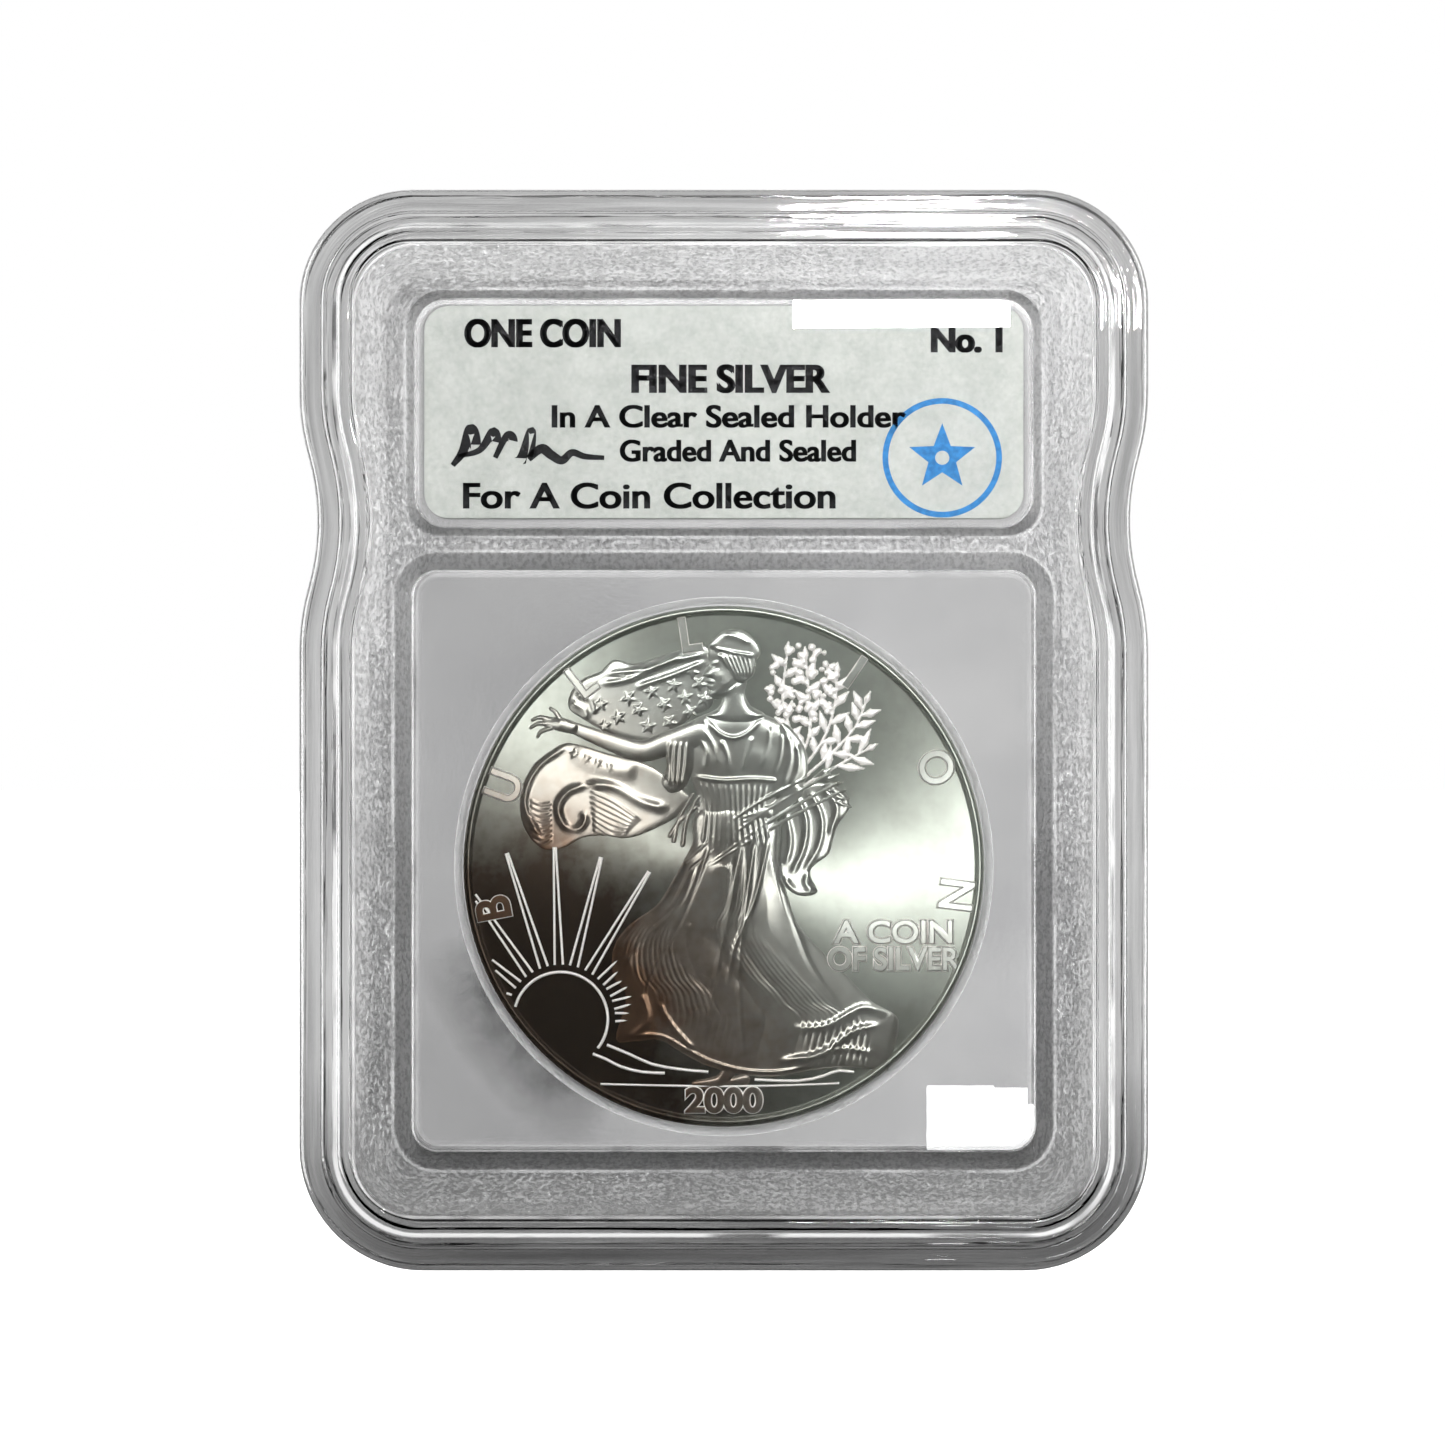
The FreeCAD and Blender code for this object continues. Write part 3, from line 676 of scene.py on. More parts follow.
def strike_cloak(r):
    upper = [(-1.2, 17.0), (-3.2, 16.9), (-5.2, 16.3), (-7.0, 15.8), (-8.6, 16.1), (-9.6, 15.2),
             (-11.0, 14.6), (-11.9, 13.6), (-12.1, 12.4), (-11.2, 11.6), (-8.5, 10.2), (-5.0, 9.6),
             (-2.6, 11.6), (-0.8, 12.8)]
    field = r.cloth(upper, 0.07, 0.5)
    r.ridges((
        [(-1.2, 16.6), (-4.2, 15.9), (-7.4, 14.6), (-9.8, 14.2)],
        [(-1.3, 16.0), (-4.0, 14.9), (-7.0, 13.9)],
        [(-3.0, 16.6), (-6.0, 15.4), (-9.2, 15.0)],
        [(-11.6, 13.4), (-10.4, 13.0), (-10.0, 11.8)],
        [(-11.9, 12.8), (-10.9, 12.2), (-10.6, 11.4)],
    ), 0.22, 0.05, field)
    spots = ((-9.6, 12.6), (-8.2, 11.6), (-7.4, 13.1), (-6.6, 12.2), (-5.9, 10.9), (-5.6, 13.6),
             (-4.6, 12.6), (-4.2, 11.2), (-3.9, 14.1), (-3.0, 13.1), (-2.6, 12.0), (-1.9, 14.2),
             (-1.5, 13.0), (-9.3, 10.9), (-7.9, 14.9), (-2.5, 15.2))
    for i, spot in enumerate(spots):
        r.form(star_points(spot, 0.62, 17 * i), 0.035, 0.12, 0.075, smooth=False)
    lower = [(-12.3, 9.6), (-14.2, 8.2), (-15.4, 6.6), (-15.9, 4.8), (-15.5, 2.9), (-14.2, 1.4),
             (-12.6, 1.4), (-11.0, 2.2), (-9.4, 2.4), (-7.4, 2.2), (-5.4, 2.9), (-3.6, 3.9),
             (-2.6, 5.2), (-4.0, 6.6), (-6.0, 8.0), (-9.0, 8.8)]
    cloth = r.cloth(lower, 0.07, 0.6)
    r.ridge([(-12.2, 9.4), (-14.6, 7.6), (-15.5, 4.8), (-14.0, 1.8)], 0.22, 0.07)
    for i in range(9):
        r.ridge([(-10.6 + 0.05 * i, 5.9 - 0.42 * i), (-8.7, 5.1 - 0.45 * i),
                 (-6.4 - 0.18 * i, 3.5 - 0.16 * i)], 0.11, 0.05, cloth)
    for i in range(8):
        r.ridge([(-15.2, 5.2 - 0.42 * i), (-14.2, 4.8 - 0.44 * i), (-13.3, 4.9 - 0.40 * i)],
                0.11, 0.045, cloth)
    r.ridge([(-10.9, 6.4), (-8.6, 6.2), (-6.4, 5.0), (-4.2, 4.4)], 0.34, 0.10, cloth)
    r.ridge([(-10.4, 6.3), (-12.0, 5.9), (-12.9, 4.6), (-12.4, 3.2), (-11.4, 2.9),
             (-10.8, 3.6), (-11.2, 4.4)], 0.26, 0.09, cloth)
    r.ridge([(-12.0, 8.9), (-9.4, 7.6), (-6.6, 7.4)], 0.6, 0.04, cloth)
    for i in range(4):
        r.form(star_points((-11.6 + 0.9 * i, 8.7 - 0.35 * i), 0.45, 11 * i), 0.03, 0.1, 0.09, False)


def leaf(r, root, heading, length, width, base):
    """A pointed leaf with a rounded face, growing from its root."""
    tip = turned(root, length, heading)
    r.limb([root, between(root, tip), tip], (0.06, width, 0.05), 0.09, base)


def strike_branch(r):
    """A leafy branch with round buds, its stems carried on the far arm."""
    rng = np.random.default_rng(7)
    stems = (
        [(4.6, 6.6), (5.2, 10.0), (4.6, 13.0), (4.9, 16.4)],
        [(4.8, 6.4), (6.6, 10.0), (6.6, 13.4), (6.4, 16.0)],
        [(5.0, 6.2), (7.6, 9.6), (8.6, 12.4), (8.8, 14.8)],
        [(5.2, 6.0), (8.4, 8.8), (10.2, 10.8), (11.0, 12.6)],
        [(5.4, 5.8), (8.8, 7.8), (11.0, 9.0)],
    )
    for stem in stems:
        r.limb(stem, (0.14, 0.11, 0.08), 0.08, 0.04)
    for number, stem in enumerate(stems):
        curve = smooth_open(stem, 4)
        for i in range(3, len(curve) - 1):
            at, ahead = curve[i], curve[i + 1] - curve[i]
            heading = math.atan2(ahead[1], ahead[0])
            side = 1 if i % 2 else -1
            lean = heading + side * rng.uniform(0.55, 0.95)
            size = 1.0 + 0.12 * number
            leaf(r, tuple(at), lean, 1.25 * size * rng.uniform(0.9, 1.2), 0.34, 0.06)
        leaf(r, tuple(curve[-1]), heading, 1.1, 0.26, 0.05)
    for _ in range(95):
        angle, reach = rng.uniform(0, 2 * math.pi), math.sqrt(rng.uniform(0, 1))
        spot = (6.2 + 2.9 * reach * math.cos(angle), 14.2 + 3.1 * reach * math.sin(angle))
        r.bead(spot, rng.uniform(0.18, 0.30), 0.10, 0.06)


def strike_near_stems(r):
    """The cut ends of the branch, crossing in front of the waist and the far arm."""
    for low, high, lift in (
        ((-2.6, -0.2), (8.2, 7.2), 0.0), ((-2.0, -0.4), (8.8, 6.5), -0.15),
        ((-3.0, 0.4), (6.4, 6.9), 0.2), ((-1.2, 0.0), (9.0, 5.8), -0.3),
    ):
        u, v = between(low, high)
        r.limb([low, (u, v + 0.5 + lift), high], (0.10, 0.15, 0.12), 0.06, 0.19)
    for i in range(6):
        leaf(r, (7.0 + 0.25 * i, 6.9 - 0.35 * i), 0.5 - 0.16 * i, 1.8, 0.24, 0.10)


def strike_far_drape(r):
    drape = [(5.4, 5.8), (7.6, 6.6), (9.4, 5.8), (9.8, 4.6), (9.0, 3.4), (8.6, 2.4), (8.2, 1.0),
             (7.2, 0.2), (6.7, -0.6), (7.3, -2.0), (6.0, -2.3), (4.8, -1.6), (4.2, -0.4),
             (4.3, 1.8), (4.6, 4.0)]
    cloth = r.cloth(drape, 0.10, 0.4)
    for line, height in (
        ([(5.6, 5.6), (6.4, 3.6), (6.2, 1.4), (5.2, -0.8)], 0.06),
        ([(6.6, 6.0), (7.6, 3.8), (7.4, 1.6), (6.2, -0.4)], 0.05),
        ([(7.6, 6.2), (8.8, 4.6), (8.2, 2.4)], 0.05),
        ([(4.8, 4.2), (5.2, 2.0), (4.8, 0.0)], 0.05),
        ([(4.6, -0.8), (5.6, -1.9), (7.2, -2.0)], 0.06),
        ([(6.9, -0.4), (6.4, -1.2), (6.9, -2.0)], 0.05),
        ([(8.2, 6.4), (9.6, 5.2)], 0.05),
    ):
        r.ridge(line, 0.24, height, cloth)


def strike_skirt(r):
    left = [(-1.7, 4.4), (-2.4, 1.8), (-3.8, -0.8), (-5.2, -3.0), (-7.4, -4.6), (-8.6, -6.4),
            (-8.6, -8.6), (-7.6, -10.2), (-8.4, -13.4)]
    right = [(3.7, 4.2), (4.2, 0.6), (4.9, -2.2), (5.8, -4.6), (7.8, -6.8), (10.0, -9.0),
             (11.6, -10.6), (13.6, -12.0), (12.8, -15.4)]
    hem = [(12.4, -15.8), (9.6, -15.6), (7.0, -15.8), (4.2, -16.3), (1.4, -16.2), (-1.2, -15.5),
           (-3.2, -14.5), (-5.0, -13.5), (-7.0, -13.6)]
    outline = left[::-1] + right + hem
    cloth = r.cloth(outline, 0.11, 0.7)
    r.H += 0.06 * cloth * ease((r.V + 3.0) / 6.0)
    across = loft_across(r, left, right)
    drift = across + 0.006 * np.sin(0.5 * r.V + 7 * across)
    growth = ease((4.0 - r.V) / 12.0)
    broad = pleats(drift + 0.03 * np.sin(11 * across), 6, 1.1)
    fine = pleats(drift, 42, 1.3)
    bands = ease(0.45 + 1.5 * np.sin(13 * across + 0.25 * r.V + 1.0))
    r.H += cloth * (0.040 * broad * growth + 0.026 * fine * bands * (0.45 + 0.55 * growth))
    legs = (
        ([(0.0, 3.0), (-2.2, -3.6), (-3.0, -6.0), (-0.8, -11.4), (-0.6, -15.2)], 1.5, 0.07),
        ([(3.0, 2.6), (4.0, -3.0), (5.4, -7.0), (9.0, -11.4), (11.6, -13.4)], 1.2, 0.05),
    )
    for line, width, height in legs:
        r.ridge(line, width, height, cloth, None)
    for line, width, height in (
        ([(1.6, 3.2), (0.4, -3.4), (-0.6, -8.4), (-1.6, -14.2)], 0.22, 0.07),
        ([(2.6, 3.6), (1.6, -4.0), (1.2, -9.0), (1.6, -15.6)], 0.18, 0.06),
        ([(3.6, 2.6), (2.4, -2.6), (0.8, -6.4), (0.2, -10.0)], 0.16, 0.06),
        ([(-2.0, 0.4), (-3.6, -3.2), (-6.4, -5.8), (-7.9, -8.4)], 0.2, 0.06),
        ([(-1.0, 2.0), (-3.0, -3.6), (-5.4, -8.0), (-6.4, -10.6)], 0.16, 0.06),
        ([(4.4, -1.0), (6.6, -7.4), (9.4, -11.4)], 0.2, 0.06),
        ([(5.2, -12.6), (8.0, -12.4), (10.8, -11.0), (12.8, -11.6)], 0.28, 0.07),
        ([(4.0, -15.2), (7.4, -14.6), (10.2, -12.8), (12.6, -12.4)], 0.28, 0.08),
        ([(6.0, -15.2), (9.2, -14.2), (12.0, -14.6)], 0.22, 0.06),
        ([(-6.4, -9.8), (-6.0, -12.0), (-7.4, -13.4)], 0.3, 0.08),
        ([(-5.2, -10.4), (-4.0, -12.4), (-2.2, -14.4)], 0.22, 0.06),
    ):
        r.ridge(line, width, height, cloth)
    r.ridge([(-7.8, -13.2), (-5.0, -13.2), (-3.0, -14.2), (-1.0, -15.2), (1.6, -15.9),
             (4.2, -16.0), (7.0, -15.5)], 0.16, 0.06)


def strike_feet(r):
    r.limb([(0.4, -16.0), (-0.4, -16.8), (-2.2, -17.0)], (0.55, 0.5, 0.3), 0.13, 0.02)
    r.limb([(0.2, -16.9), (1.6, -16.6)], (0.3, 0.45), 0.12, 0.02)
    r.limb([(11.6, -13.0), (12.7, -13.8), (12.2, -15.2)], (0.6, 0.55, 0.35), 0.14, 0.05)


def strike_torso(r):
    bodice = [(-2.8, 10.9), (-1.6, 11.8), (0.2, 12.2), (2.2, 12.1), (4.2, 11.4), (5.6, 10.4),
              (6.0, 8.6), (5.0, 6.4), (4.1, 4.8), (3.9, 3.0), (2.6, 1.2), (0.6, 0.6), (-1.4, 1.4),
              (-2.0, 3.2), (-2.0, 5.2), (-2.6, 7.0), (-3.0, 9.0)]
    cloth = r.cloth(bodice, 0.19, 1.6)
    r.ridge([(-0.9, 8.3), (-0.5, 8.0)], 0.95, 0.035, cloth, None)
    r.ridge([(2.6, 8.4), (3.0, 8.2)], 1.0, 0.035, cloth, None)
    for i in range(12):
        top = -1.9 + 0.48 * i
        r.ridge([(top, 6.9 - 0.04 * i), (0.85 * top + 0.2, 4.6), (top + 0.2, 1.4)],
                0.11, 0.04, cloth)
    r.ridges((
        [(-1.3, 11.4), (-0.4, 10.4), (0.8, 10.0), (2.0, 10.5), (3.0, 11.6)],
        [(-2.3, 10.6), (-1.4, 9.0), (-1.5, 7.4)],
        [(-1.8, 10.9), (-0.8, 9.4), (-0.6, 7.8)],
        [(-0.2, 9.9), (0.3, 8.6), (0.4, 7.2)],
        [(2.2, 10.2), (1.8, 8.8), (1.4, 7.4)],
        [(3.6, 11.0), (3.4, 9.2), (2.8, 7.6)],
        [(4.6, 10.6), (4.4, 8.6), (3.8, 7.0)],
        [(5.2, 9.6), (5.2, 7.8), (4.6, 6.2)],
        [(-2.4, 7.0), (0.0, 6.7), (2.4, 6.8), (4.8, 6.6)],
    ), 0.16, 0.05, cloth)


def strike_arms(r):
    r.limb([(-2.0, 10.3), (-4.6, 9.5), (-6.6, 9.0), (-9.4, 9.9), (-12.0, 10.9)],
           (1.15, 0.95, 0.8, 0.62, 0.42), 0.17, 0.07)
    r.limb([(-11.8, 10.8), (-12.9, 11.1), (-13.8, 11.2)], (0.48, 0.55, 0.35), 0.15, 0.08)
    for finger in (
        [(-13.4, 11.4), (-14.3, 11.6), (-14.9, 11.4)],
        [(-13.6, 11.1), (-14.5, 11.1), (-15.0, 10.8)],
        [(-13.4, 10.8), (-14.2, 10.5), (-14.5, 10.1)],
        [(-12.8, 11.5), (-13.1, 12.0), (-13.5, 12.3)],
    ):
        r.limb(finger, (0.2, 0.17, 0.12), 0.10, 0.08)
    sleeve = [(-2.4, 10.6), (-4.2, 10.3), (-4.6, 9.2), (-4.4, 7.8), (-4.9, 6.6), (-4.2, 5.7),
              (-3.2, 6.0), (-2.6, 7.0), (-2.2, 8.4)]
    cloth = r.cloth(sleeve, 0.14, 0.6, 0.06)
    for shift in (0.0, 0.45, 0.9, 1.35):
        r.ridge([(-4.2 + shift, 9.8), (-4.3 + shift, 8.0), (-4.2 + 0.7 * shift, 6.2)],
                0.14, 0.06, cloth)
    for start, end in (((-2.4, 5.6), (-3.9, 2.0)), ((-2.0, 5.4), (-3.2, 1.7)),
                       ((-1.7, 5.0), (-2.2, 1.8)), ((-2.1, 4.6), (-4.2, 2.4))):
        u, v = between(start, end)
        r.limb([start, (u - 0.3, v), end], (0.12, 0.16, 0.2), 0.09, 0.03)
    far_sleeve = [(4.4, 11.2), (5.8, 10.2), (6.5, 8.6), (6.4, 6.8), (5.4, 5.6), (4.0, 5.4),
                  (3.6, 6.6), (4.2, 8.4)]
    cloth = r.cloth(far_sleeve, 0.12, 0.7, 0.09)
    r.ridges(([(5.0, 10.4), (5.2, 8.4), (4.6, 6.2)], [(5.7, 9.6), (5.8, 7.8), (5.2, 6.2)]),
             0.2, 0.05, cloth)
    r.limb([(5.6, 6.0), (4.4, 4.6), (3.2, 4.1)], (0.7, 0.6, 0.5), 0.15, 0.09)
    r.limb([(3.4, 4.2), (2.2, 3.9), (1.4, 3.5)], (0.55, 0.5, 0.3), 0.13, 0.12)
    for i in range(3):
        r.limb([(2.4, 4.1 - 0.3 * i), (1.5, 3.8 - 0.32 * i), (0.9, 3.3 - 0.25 * i)],
               (0.17, 0.15, 0.1), 0.09, 0.15)


def strike_head(r):
    """A calm generic profile that looks left, under a soft cap tied over the hair."""
    neck = [(-0.15, 14.2), (-0.05, 13.2), (-0.5, 12.3), (-1.4, 11.7), (0.4, 11.0), (2.2, 11.1),
            (3.2, 11.8), (2.1, 12.5), (1.65, 13.4), (1.7, 14.6)]
    r.form(neck, 0.16, 0.8, 0.05)

    def at(points):
        """Sizes the head about its crown."""
        return [(0.6 + 1.18 * (u - 0.6), 18.45 + 1.1 * (v - 18.45)) for u, v in points]

    skull = at([
        (-0.70, 17.6), (-0.95, 16.9), (-0.95, 16.4), (-0.88, 16.05), (-1.12, 15.55),
        (-1.32, 15.20), (-1.02, 15.02), (-1.10, 14.78), (-0.98, 14.60), (-1.06, 14.40),
        (-0.86, 14.15), (-0.92, 13.85), (-0.60, 13.55), (0.00, 13.62), (0.75, 14.10),
        (1.30, 15.0), (1.75, 16.2), (1.6, 17.4), (0.5, 18.0),
    ])
    face = r.cloth(skull, 0.20, 0.75, 0.03, 0.3)
    r.ridge(at([(-0.75, 16.05), (-0.25, 16.12)]), 0.13, 0.022, face)
    for line, width, height in (
        ([(-0.72, 15.75), (-0.36, 15.74)], 0.13, -0.03),
        ([(-0.68, 15.73), (-0.42, 15.76)], 0.06, 0.03),
        ([(-0.98, 15.16), (-0.80, 15.24)], 0.08, 0.02),
        ([(-0.80, 15.02), (-0.55, 14.88)], 0.10, -0.018),
        ([(-1.0, 14.59), (-0.66, 14.55)], 0.06, -0.03),
        ([(-0.1, 15.1), (0.15, 14.7)], 0.40, 0.02),
    ):
        r.ridge(at(line), width, height, face, None)
    r.ridge(at([(-0.3, 13.75), (0.6, 14.2), (0.95, 14.9)]), 0.14, 0.02, face)
    hair = at([
        (-0.30, 16.7), (0.10, 16.0), (0.55, 15.5), (0.85, 14.9), (1.35, 14.7), (1.95, 15.1),
        (2.2, 16.0), (2.0, 16.8), (1.0, 17.0),
    ])
    locks = r.cloth(hair, 0.06, 0.3, 0.21)
    for i in range(7):
        lock = at([(-0.1 + 0.28 * i, 16.7), (0.25 + 0.26 * i, 15.9), (0.7 + 0.2 * i, 15.1)])
        r.ridge(lock, 0.09, 0.03, locks)
    cap = at([
        (-0.85, 17.25), (-0.45, 17.95), (0.3, 18.45), (1.3, 18.4), (2.2, 17.7), (2.5, 16.8),
        (2.1, 16.2), (1.1, 16.5), (0.0, 16.75),
    ])
    cloth = r.cloth(cap, 0.10, 0.6, 0.17)
    r.ridge(at([(-0.7, 17.15), (0.6, 16.85), (2.2, 16.55)]), 0.13, 0.04, cloth)
    r.ridge(at([(0.0, 18.1), (0.9, 17.9), (1.9, 17.4)]), 0.2, 0.025, cloth)


def strike(left, right, low, high, *steps):
    """A relief over part of the coin's face, raised by the given steps in turn."""
    relief = Relief(left, right, low, high, GRID_STEP)
    for step in steps:
        step(relief)
    return relief


# ---- lines and letters on the coin

def field_point(u, v, lift=0.0):
    """A point on the front field, in metres, raised by lift."""
    height = field_height(math.hypot(u, v)) + lift
    return (u * MM, -height * MM, (COIN_LEVEL + v) * MM)


def add_run(curve, places):
    """Adds straight pieces through the places to a curve."""
    spline = curve.splines.new("POLY")
    spline.points.add(len(places) - 1)
    for point, place in zip(spline.points, places):
        point.co = (*place, 1.0)
    return spline


def build_lines(name, lines, thickness):
    """Raised lines on the front field, each a half-sunk round bead."""
    rise = 0.012
    curve = bpy.data.curves.new(name, "CURVE")
    curve.dimensions = "3D"
    curve.bevel_depth = thickness * MM
    curve.bevel_resolution = 2
    curve.use_fill_caps = True
    for line in lines:
        run = [p for p in smooth_open(line, 2) if math.hypot(*p) < RIM_INNER]
        if len(run) > 1:
            add_run(curve, [field_point(u, v, rise) for u, v in run])
    add_piece(name, curve, FROSTED_HIGHLIGHT_SILVER)


def build_land():
    """Rising sun with its rays, hill lines and the ground line."""
    sun, sun_radius, ray_start, ray_spread = (-12.7, -11.9), 3.67, 4.25, 0.075
    rays = []
    tips = ((2, 5.4), (15, 5.8), (29, 6.2), (43, 6.6), (59, 13.4), (76, 13.0), (92, 13.4),
            (108, 13.6), (125, 14.0), (141, 12.0), (158, 9.0))
    for degrees, reach in tips:
        angle = math.radians(degrees)
        tip_spread = 0.006 if reach > 8 else 0.05
        for side in (-1, 1):
            start = turned(sun, ray_start, angle + side * ray_spread)
            end = turned(sun, reach, angle + side * tip_spread)
            rays.append([between(start, end, t) for t in np.linspace(0, 1, 12)])
    build_lines("coin_rays", rays, 0.10)
    arc = [turned(sun, sun_radius, a) for a in np.radians(np.linspace(-38, 230, 40))]
    hills = [
        [(-9.1, -13.9), (-7.4, -14.6), (-5.6, -15.4), (-3.4, -15.8), (-1.2, -16.0)],
        [(-10.2, -14.6), (-9.2, -15.0), (-8.0, -15.6), (-6.4, -16.0), (-4.6, -16.1)],
        [(-16.0, -12.9), (-14.8, -13.2), (-13.6, -14.0)],
        [(2.4, -16.6), (5.8, -16.7), (7.8, -16.3), (9.0, -15.9), (11.4, -16.2)],
    ]
    build_lines("coin_sun_and_hills", [arc] + hills, 0.12)
    build_lines("coin_ground", [[(-9.6, -16.95), (-3.0, -17.1), (3.0, -17.1), (9.0, -16.9)]], 0.09)


def build_letter(name, words, size, u, v, turn=0.0, stretch=1.0):
    """Raised lettering centred on a point of the front field; its sloped sides get the frosted
    silver as a painted highlight outline, its flat tops the relief silver.
    """
    flat = 0.95
    text = bpy.data.curves.new(name, "FONT")
    text.body = words
    text.size = size
    text.align_x = "CENTER"
    text.align_y = "CENTER"
    text.extrude = 0.06
    text.bevel_depth = 0.15
    text.bevel_resolution = 2
    text.offset = 0.03
    upright = Matrix.Rotation(turn, 4, "Y") @ Matrix.Rotation(math.pi / 2, 4, "X")
    mesh = text_mesh(name, text, upright @ Matrix.Diagonal((stretch, 1, 1, 1)))
    for vertex in mesh.vertices:
        across, rise, up = vertex.co.x + u, -vertex.co.y, vertex.co.z + v
        vertex.co = field_point(across, up, rise)
    add_piece(name, mesh, FROSTED_HIGHLIGHT_SILVER)
    mesh.materials.append(RELIEF_SILVER)
    # Sloped sides in the frosted silver: a painted highlight outline.
    for face in mesh.polygons:
        face.material_index = int(abs(face.normal.y) > flat)


def build_coin_lettering():
    """Plain generic words spaced round the rim, beside the skirt and under the ground."""
    size, reach = 3.7, 18.1
    angles = (190.5, 160.0, 127.5, 98.5, 56.0, 25.0, -7.0)
    for number, (letter, degrees) in enumerate(zip("BULLION", angles)):
        angle = math.radians(degrees)
        u, v = turned((0, 0), reach, angle)
        build_letter(f"coin_rim_letter_{number + 1}", letter, size, u, v, math.pi / 2 - angle, 0.9)
    build_letter("coin_motto_upper", "A COIN", 2.4, 13.3, -5.2, stretch=1.1)
    build_letter("coin_motto_lower", "OF SILVER", 2.4, 13.2, -7.3, stretch=0.95)
    build_letter("coin_date", "2000", 2.6, 0.0, -18.3, stretch=1.15)


# ---- the reverse

def strike_reverse():
    """A plain wreath round a large star, inside a ring of beads."""
    half, step, beads = 19.5, 0.1, 96
    relief = Relief(-half, half, -half, half, step)
    for i in range(beads):
        relief.bead(turned((0, 0), 18.7, 2 * math.pi * i / beads), 0.34, 0.12, 0.02)
    for side in (-1, 1):
        stem = [(side * 13.2 * math.sin(a), -13.2 * math.cos(a)) for a in np.linspace(0.1, 2.75, 24)]
        relief.limb(stem, (0.22, 0.16, 0.10), 0.10, 0.05)
        for i, (u, v) in enumerate(stem[1:]):
            heading = math.atan2(v, u) + side * math.pi / 2
            for lean, length in ((0.75, 3.0), (-0.75, 3.0), (0.0, 2.4)):
                leaf(relief, (u, v), heading + lean, length, 0.55, 0.06 + 0.01 * (i % 3))
    relief.form(star_points((0, 0), 7.4), 0.22, 1.1, smooth=False)
    for i in range(5):
        relief.ridge([(0, 0), turned((0, 0), 6.9, math.radians(90 + 72 * i))], 0.3, 0.05)
    return relief


# ---- label printing

def label_place(side):
    """Turns print drawn across X and up Y into print on the front or the back label."""
    turn = Matrix.Identity(4) if side > 0 else Matrix.Rotation(math.pi, 4, "Z")
    return (
        turn @ Matrix.Translation((0, -PRINT_LEVEL * MM, 0)) @ Matrix.Rotation(math.pi / 2, 4, "X")
        @ Matrix.Scale(MM, 4)
    )


def add_print(name, mesh, material, side):
    mesh.transform(label_place(side))
    add_piece(name, mesh, material)


def join_shifted(mesh, shifts):
    """Repeats a flat mesh at small sideways shifts, which makes thin print bold."""
    bold = bmesh.new()
    for shift in shifts:
        first = len(bold.verts)
        bold.from_mesh(mesh)
        bold.verts.ensure_lookup_table()
        bmesh.ops.translate(bold, verts=bold.verts[first:], vec=(shift, 0, 0))
    bold.to_mesh(mesh)
    bold.free()


def build_print(name, words, left, right, base, capital, material, weight=0.0, side=1):
    """One printed line; its capitals are as tall as asked and it fills left to right."""
    text = bpy.data.curves.new(name, "FONT")
    text.body = words
    text.size = (capital - weight) / CAPITAL_SHARE
    text.offset = weight / 2
    mesh = text_mesh(name, text)
    across = [vertex.co.x for vertex in mesh.vertices]
    stretch = (right - left - weight) / (max(across) - min(across))
    start = left + weight / 2 - min(across) * stretch
    mesh.transform(Matrix.Diagonal((stretch, 1, 1, 1)))
    mesh.transform(Matrix.Translation((start, base + weight / 2, 0)))
    join_shifted(mesh, (-weight / 2, weight / 2))
    add_print(name, mesh, material, side)


def build_flat(name, outlines, material, side=1):
    """Flat printed shapes on a label, from filled outlines given as points."""
    curve = bpy.data.curves.new(name, "CURVE")
    curve.dimensions = "2D"
    curve.fill_mode = "BOTH"
    for outline in outlines:
        add_run(curve, [(u, v, 0.0) for u, v in outline]).use_cyclic_u = True
    add_print(name, text_mesh(name, curve), material, side)


def ring_outline(centre, radius, count=72):
    return [turned(centre, radius, a)
            for a in np.linspace(0, 2 * math.pi, count, endpoint=False)]


def stroke_outline(points, widths):
    """The outline of a pen stroke whose width runs through the given widths."""
    line = smooth_open(points, 8)
    ahead = np.gradient(line, axis=0)
    across = np.stack([-ahead[:, 1], ahead[:, 0]], axis=1)
    across /= np.linalg.norm(across, axis=1, keepdims=True) + 1e-9
    half = np.interp(np.linspace(0, 1, len(line)), np.linspace(0, 1, len(widths)), widths) / 2
    left, right = line + across * half[:, None], line - across * half[:, None]
    return np.vstack([left, right[::-1]]).tolist()


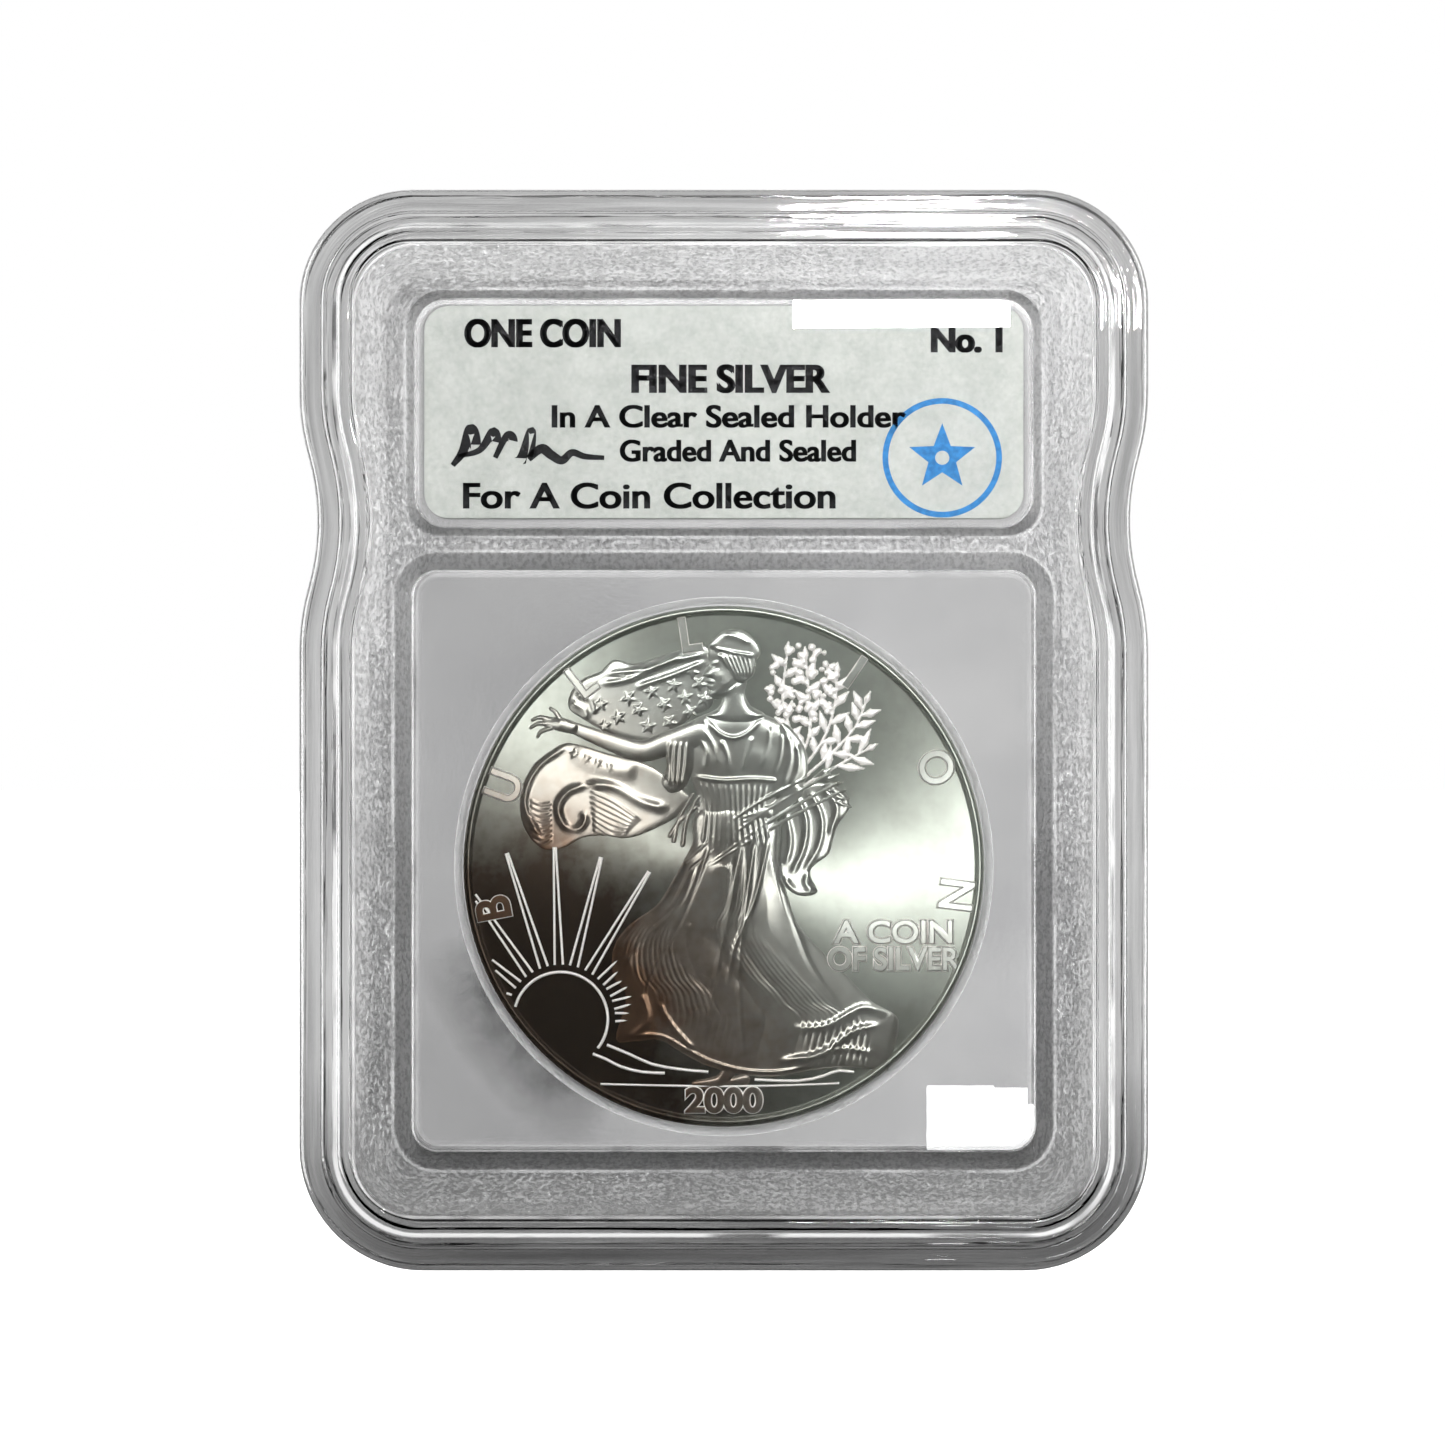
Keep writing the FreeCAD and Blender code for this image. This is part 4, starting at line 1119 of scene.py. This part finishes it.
def build_front_label():
    """Black lines of plain words, a loose pen flourish and a round blue seal."""
    bold, medium = 0.16, 0.09
    for number, (words, left, right, base, capital, weight) in enumerate((
        ("ONE COIN", -20.2, -8.0, 71.8, 2.2, bold),
        ("No. 1", 16.1, 21.7, 71.4, 2.0, bold),
        ("FINE SILVER", -7.2, 8.3, 68.25, 2.2, bold),
        ("In A Clear Sealed Holder", -13.4, 14.2, 65.55, 1.75, medium),
        ("Graded And Sealed", -8.1, 10.3, 62.9, 1.7, medium),
        ("For A Coin Collection", -20.3, 8.7, 59.25, 2.0, medium),
    )):
        build_print(f"front_print_{number + 1}", words, left, right, base, capital,
                    BLACK_INK, weight)
    strokes = (
        ([(-21.1, 62.6), (-20.3, 63.7), (-19.7, 65.4), (-19.3, 64.4), (-19.5, 62.6)],
         (0.4, 0.7, 0.9, 0.8, 0.5)),
        ([(-20.7, 63.3), (-19.0, 63.8), (-17.9, 65.2), (-17.6, 63.6), (-17.9, 62.8)],
         (0.3, 0.5, 0.8, 0.7, 0.4)),
        ([(-17.8, 63.2), (-16.9, 64.9), (-16.4, 64.6), (-16.6, 63.0), (-15.8, 63.1),
          (-15.0, 65.3), (-14.9, 64.2), (-15.2, 62.7)], (0.4, 0.7, 0.8, 0.6, 0.4)),
        ([(-15.2, 63.1), (-14.2, 63.9), (-13.4, 63.4), (-12.6, 63.0), (-11.8, 63.6),
          (-10.8, 63.3), (-9.3, 63.2)], (0.5, 0.8, 0.7, 0.6, 0.5, 0.35)),
    )
    for number, (points, widths) in enumerate(strokes):
        build_flat(f"front_pen_stroke_{number + 1}", [stroke_outline(points, widths)], BLACK_INK)
    seal = (17.0, 63.2)
    build_flat("front_seal_ring", [ring_outline(seal, 4.65), ring_outline(seal, 4.2)], BLUE_INK)
    build_flat("front_seal_star", [star_points(seal, 2.7), ring_outline(seal, 0.55, 24)],
               BLUE_INK)


def build_back_label():
    """Plain lines and a row of bars beside the foil."""
    build_print("back_print_1", "ONE COIN", -8.4, 5.6, 70.6, 2.2, BLACK_INK, 0.085, -1)
    build_print("back_print_2", "Fine Silver, Sealed", -8.4, 15.1, 67.2, 1.8, BLACK_INK, 0.05, -1)
    rng = np.random.default_rng(3)
    bars, u = [], -8.3
    while u < 15.0:
        width = rng.choice((0.18, 0.28, 0.45))
        bars.append([(u, 60.0), (u + width, 60.0), (u + width, 65.0), (u, 65.0)])
        u += width + rng.choice((0.2, 0.3, 0.5))
    build_flat("back_bars", bars, BLACK_INK, -1)


# ---- studio

def stage_material():
    nodes = Nodes("stage_white")
    return nodes.finish(nodes.principled(
        Base_Color=grey(0.9), Roughness=0.8, Emission_Color=grey(1.0),
        Emission_Strength=0.85, Normal=nodes.bump(nodes.noise(60.0), 0.0001),
    ))


def build_stage():
    """A pale floor that runs out of view."""
    reach = 2.5
    mesh = bpy.data.meshes.new("floor")
    mesh.from_pydata(
        [(-reach, -reach, 0), (reach, -reach, 0), (reach, reach, 0), (-reach, reach, 0)],
        [], [(0, 1, 2, 3)],
    )
    mesh.materials.append(stage_material())
    floor = new_object("floor", mesh)
    floor.visible_transmission = False
    floor.visible_glossy = False


def build_world():
    """Pale surroundings; what the plastic bends into view is a dim grey room."""
    nodes = Nodes("studio", bpy.data.worlds)
    _, depth, level = nodes.axes("Generated")
    from_front = nodes.plus(nodes.times(depth, 0.5), 0.5)
    ramp = nodes.add("ShaderNodeValToRGB", {0: from_front})
    ramp.color_ramp.interpolation = "EASE"
    stops = ((0.0, 0.02), (0.14, 0.02), (0.30, 0.5), (0.60, 1.8), (0.82, 1.8), (0.92, 0.25),
             (0.965, 0.25), (0.985, 0.80), (1.0, 0.80))
    elements = ramp.color_ramp.elements
    while len(elements) < len(stops):
        elements.new(0.5)
    for element, (position, shade) in zip(elements, stops):
        element.position = position
        element.color = grey(shade)
    room = nodes.times(ramp.outputs["Color"], nodes.remap(level, -0.8, 0.8, 0.3, 1.7))
    cloud = nodes.noise(9.0, 2.0, 0.5, nodes.place("Generated"))
    room = nodes.times(room, nodes.spread(cloud, 0.8, 1.15))
    dim = nodes.add("ShaderNodeBackground", {"Color": room}).outputs[0]
    pale = nodes.add("ShaderNodeBackground", {"Color": grey(1.0)}).outputs[0]
    camera_ray = nodes.add("ShaderNodeLightPath").outputs["Is Camera Ray"]
    bpy.context.scene.world = nodes.finish(nodes.mix(camera_ray, dim, pale), "World")


def aim(thing, target):
    direction = Vector(target) - Vector(thing.location)
    thing.rotation_euler = direction.to_track_quat("-Z", "Y").to_euler()


def area_light(name, place, target, size, power):
    light = bpy.data.lights.new(name, "AREA")
    light.shape = "RECTANGLE"
    light.size, light.size_y = size
    light.energy = power
    lamp = new_object(name, light)
    lamp.location = place
    aim(lamp, target)
    lamp.visible_camera = False
    lamp.visible_transmission = False
    return lamp


def shine_only_on(lamp, things):
    """Lets a lamp reach only the given objects."""
    group = bpy.data.collections.new(lamp.name + "_reach")
    for thing in things:
        group.objects.link(thing)
    lamp.light_linking.receiver_collection = group


def build_lights():
    """A key lamp, a panel at each side, small close lamps for glare, and one for the label."""
    middle, glare_y, glare_power_per_area = (0, 0, 0.04), -0.0625, 50
    area_light("key", (0.037, -0.6, 0.1328), middle, (0.045, 0.0165), 0.65)
    shells = [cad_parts["front_shell"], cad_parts["back_shell"]]
    for name, side in (("left_panel", -1), ("right_panel", 1)):
        panel = area_light(name, (side * 0.6, -0.35, 0.1), middle, (0.5, 0.7), 12.0)
        panel.visible_diffuse = False
        shine_only_on(panel, shells)
    for number, (x, z, wide, high) in enumerate((
        (0.0230, 0.0060, 0.0092, 0.0070), (0.0250, 0.0052, 0.0072, 0.0056),
        (0.0215, 0.0072, 0.0060, 0.0050),
    )):
        low = area_light(f"low_glare_{number + 1}", (x, glare_y, z), (x, 0, z), (wide, high),
                         glare_power_per_area * wide * high)
        shine_only_on(low, shells[:1])
    x, z = 0.0188, 0.0841
    top = area_light("top_glare", (x, glare_y, z), (x, 0, z), (0.0145, 0.003), 0.025)
    top.visible_diffuse = False
    shine_only_on(top, shells[:1])
    paper = [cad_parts["front_label"]]
    shine_only_on(area_light("label_fill", (0.1, -0.6, 0.3), middle, (0.4, 0.4), 0.2), paper)


def build_camera():
    camera = bpy.data.cameras.new("camera")
    distance = 0.36
    width_seen = 0.113
    camera.sensor_width = 36.0
    camera.lens = camera.sensor_width * distance / width_seen
    camera.clip_start, camera.clip_end = 0.01, 20.0
    body = new_object("camera", camera)
    body.location = (-0.0001, -distance, 0.0426)
    body.rotation_euler = (math.pi / 2, 0, 0)
    bpy.context.scene.camera = body


dress_cad_nodes()
build_coin_blank()
far_side = strike(-17, 14, -4, 19, strike_far_drape, strike_cloak)
build_relief("coin_cloak", far_side, 1, RELIEF_SILVER)
build_relief("coin_branch", strike(2, 14, 4, 19, strike_branch), 1, FROSTED_HIGHLIGHT_SILVER)
figure = strike(-17, 15, -18.5, 19, strike_skirt, strike_feet, strike_torso, strike_arms,
                strike_near_stems, strike_head)
build_relief("coin_figure", figure, 1, RELIEF_SILVER)
build_land()
build_coin_lettering()
build_relief("coin_reverse", strike_reverse(), -1, RELIEF_SILVER)
build_front_label()
build_back_label()
build_stage()
build_world()
build_lights()
build_camera()
bpy.context.scene.view_settings.view_transform = "Standard"

bpy.context.view_layer.update()
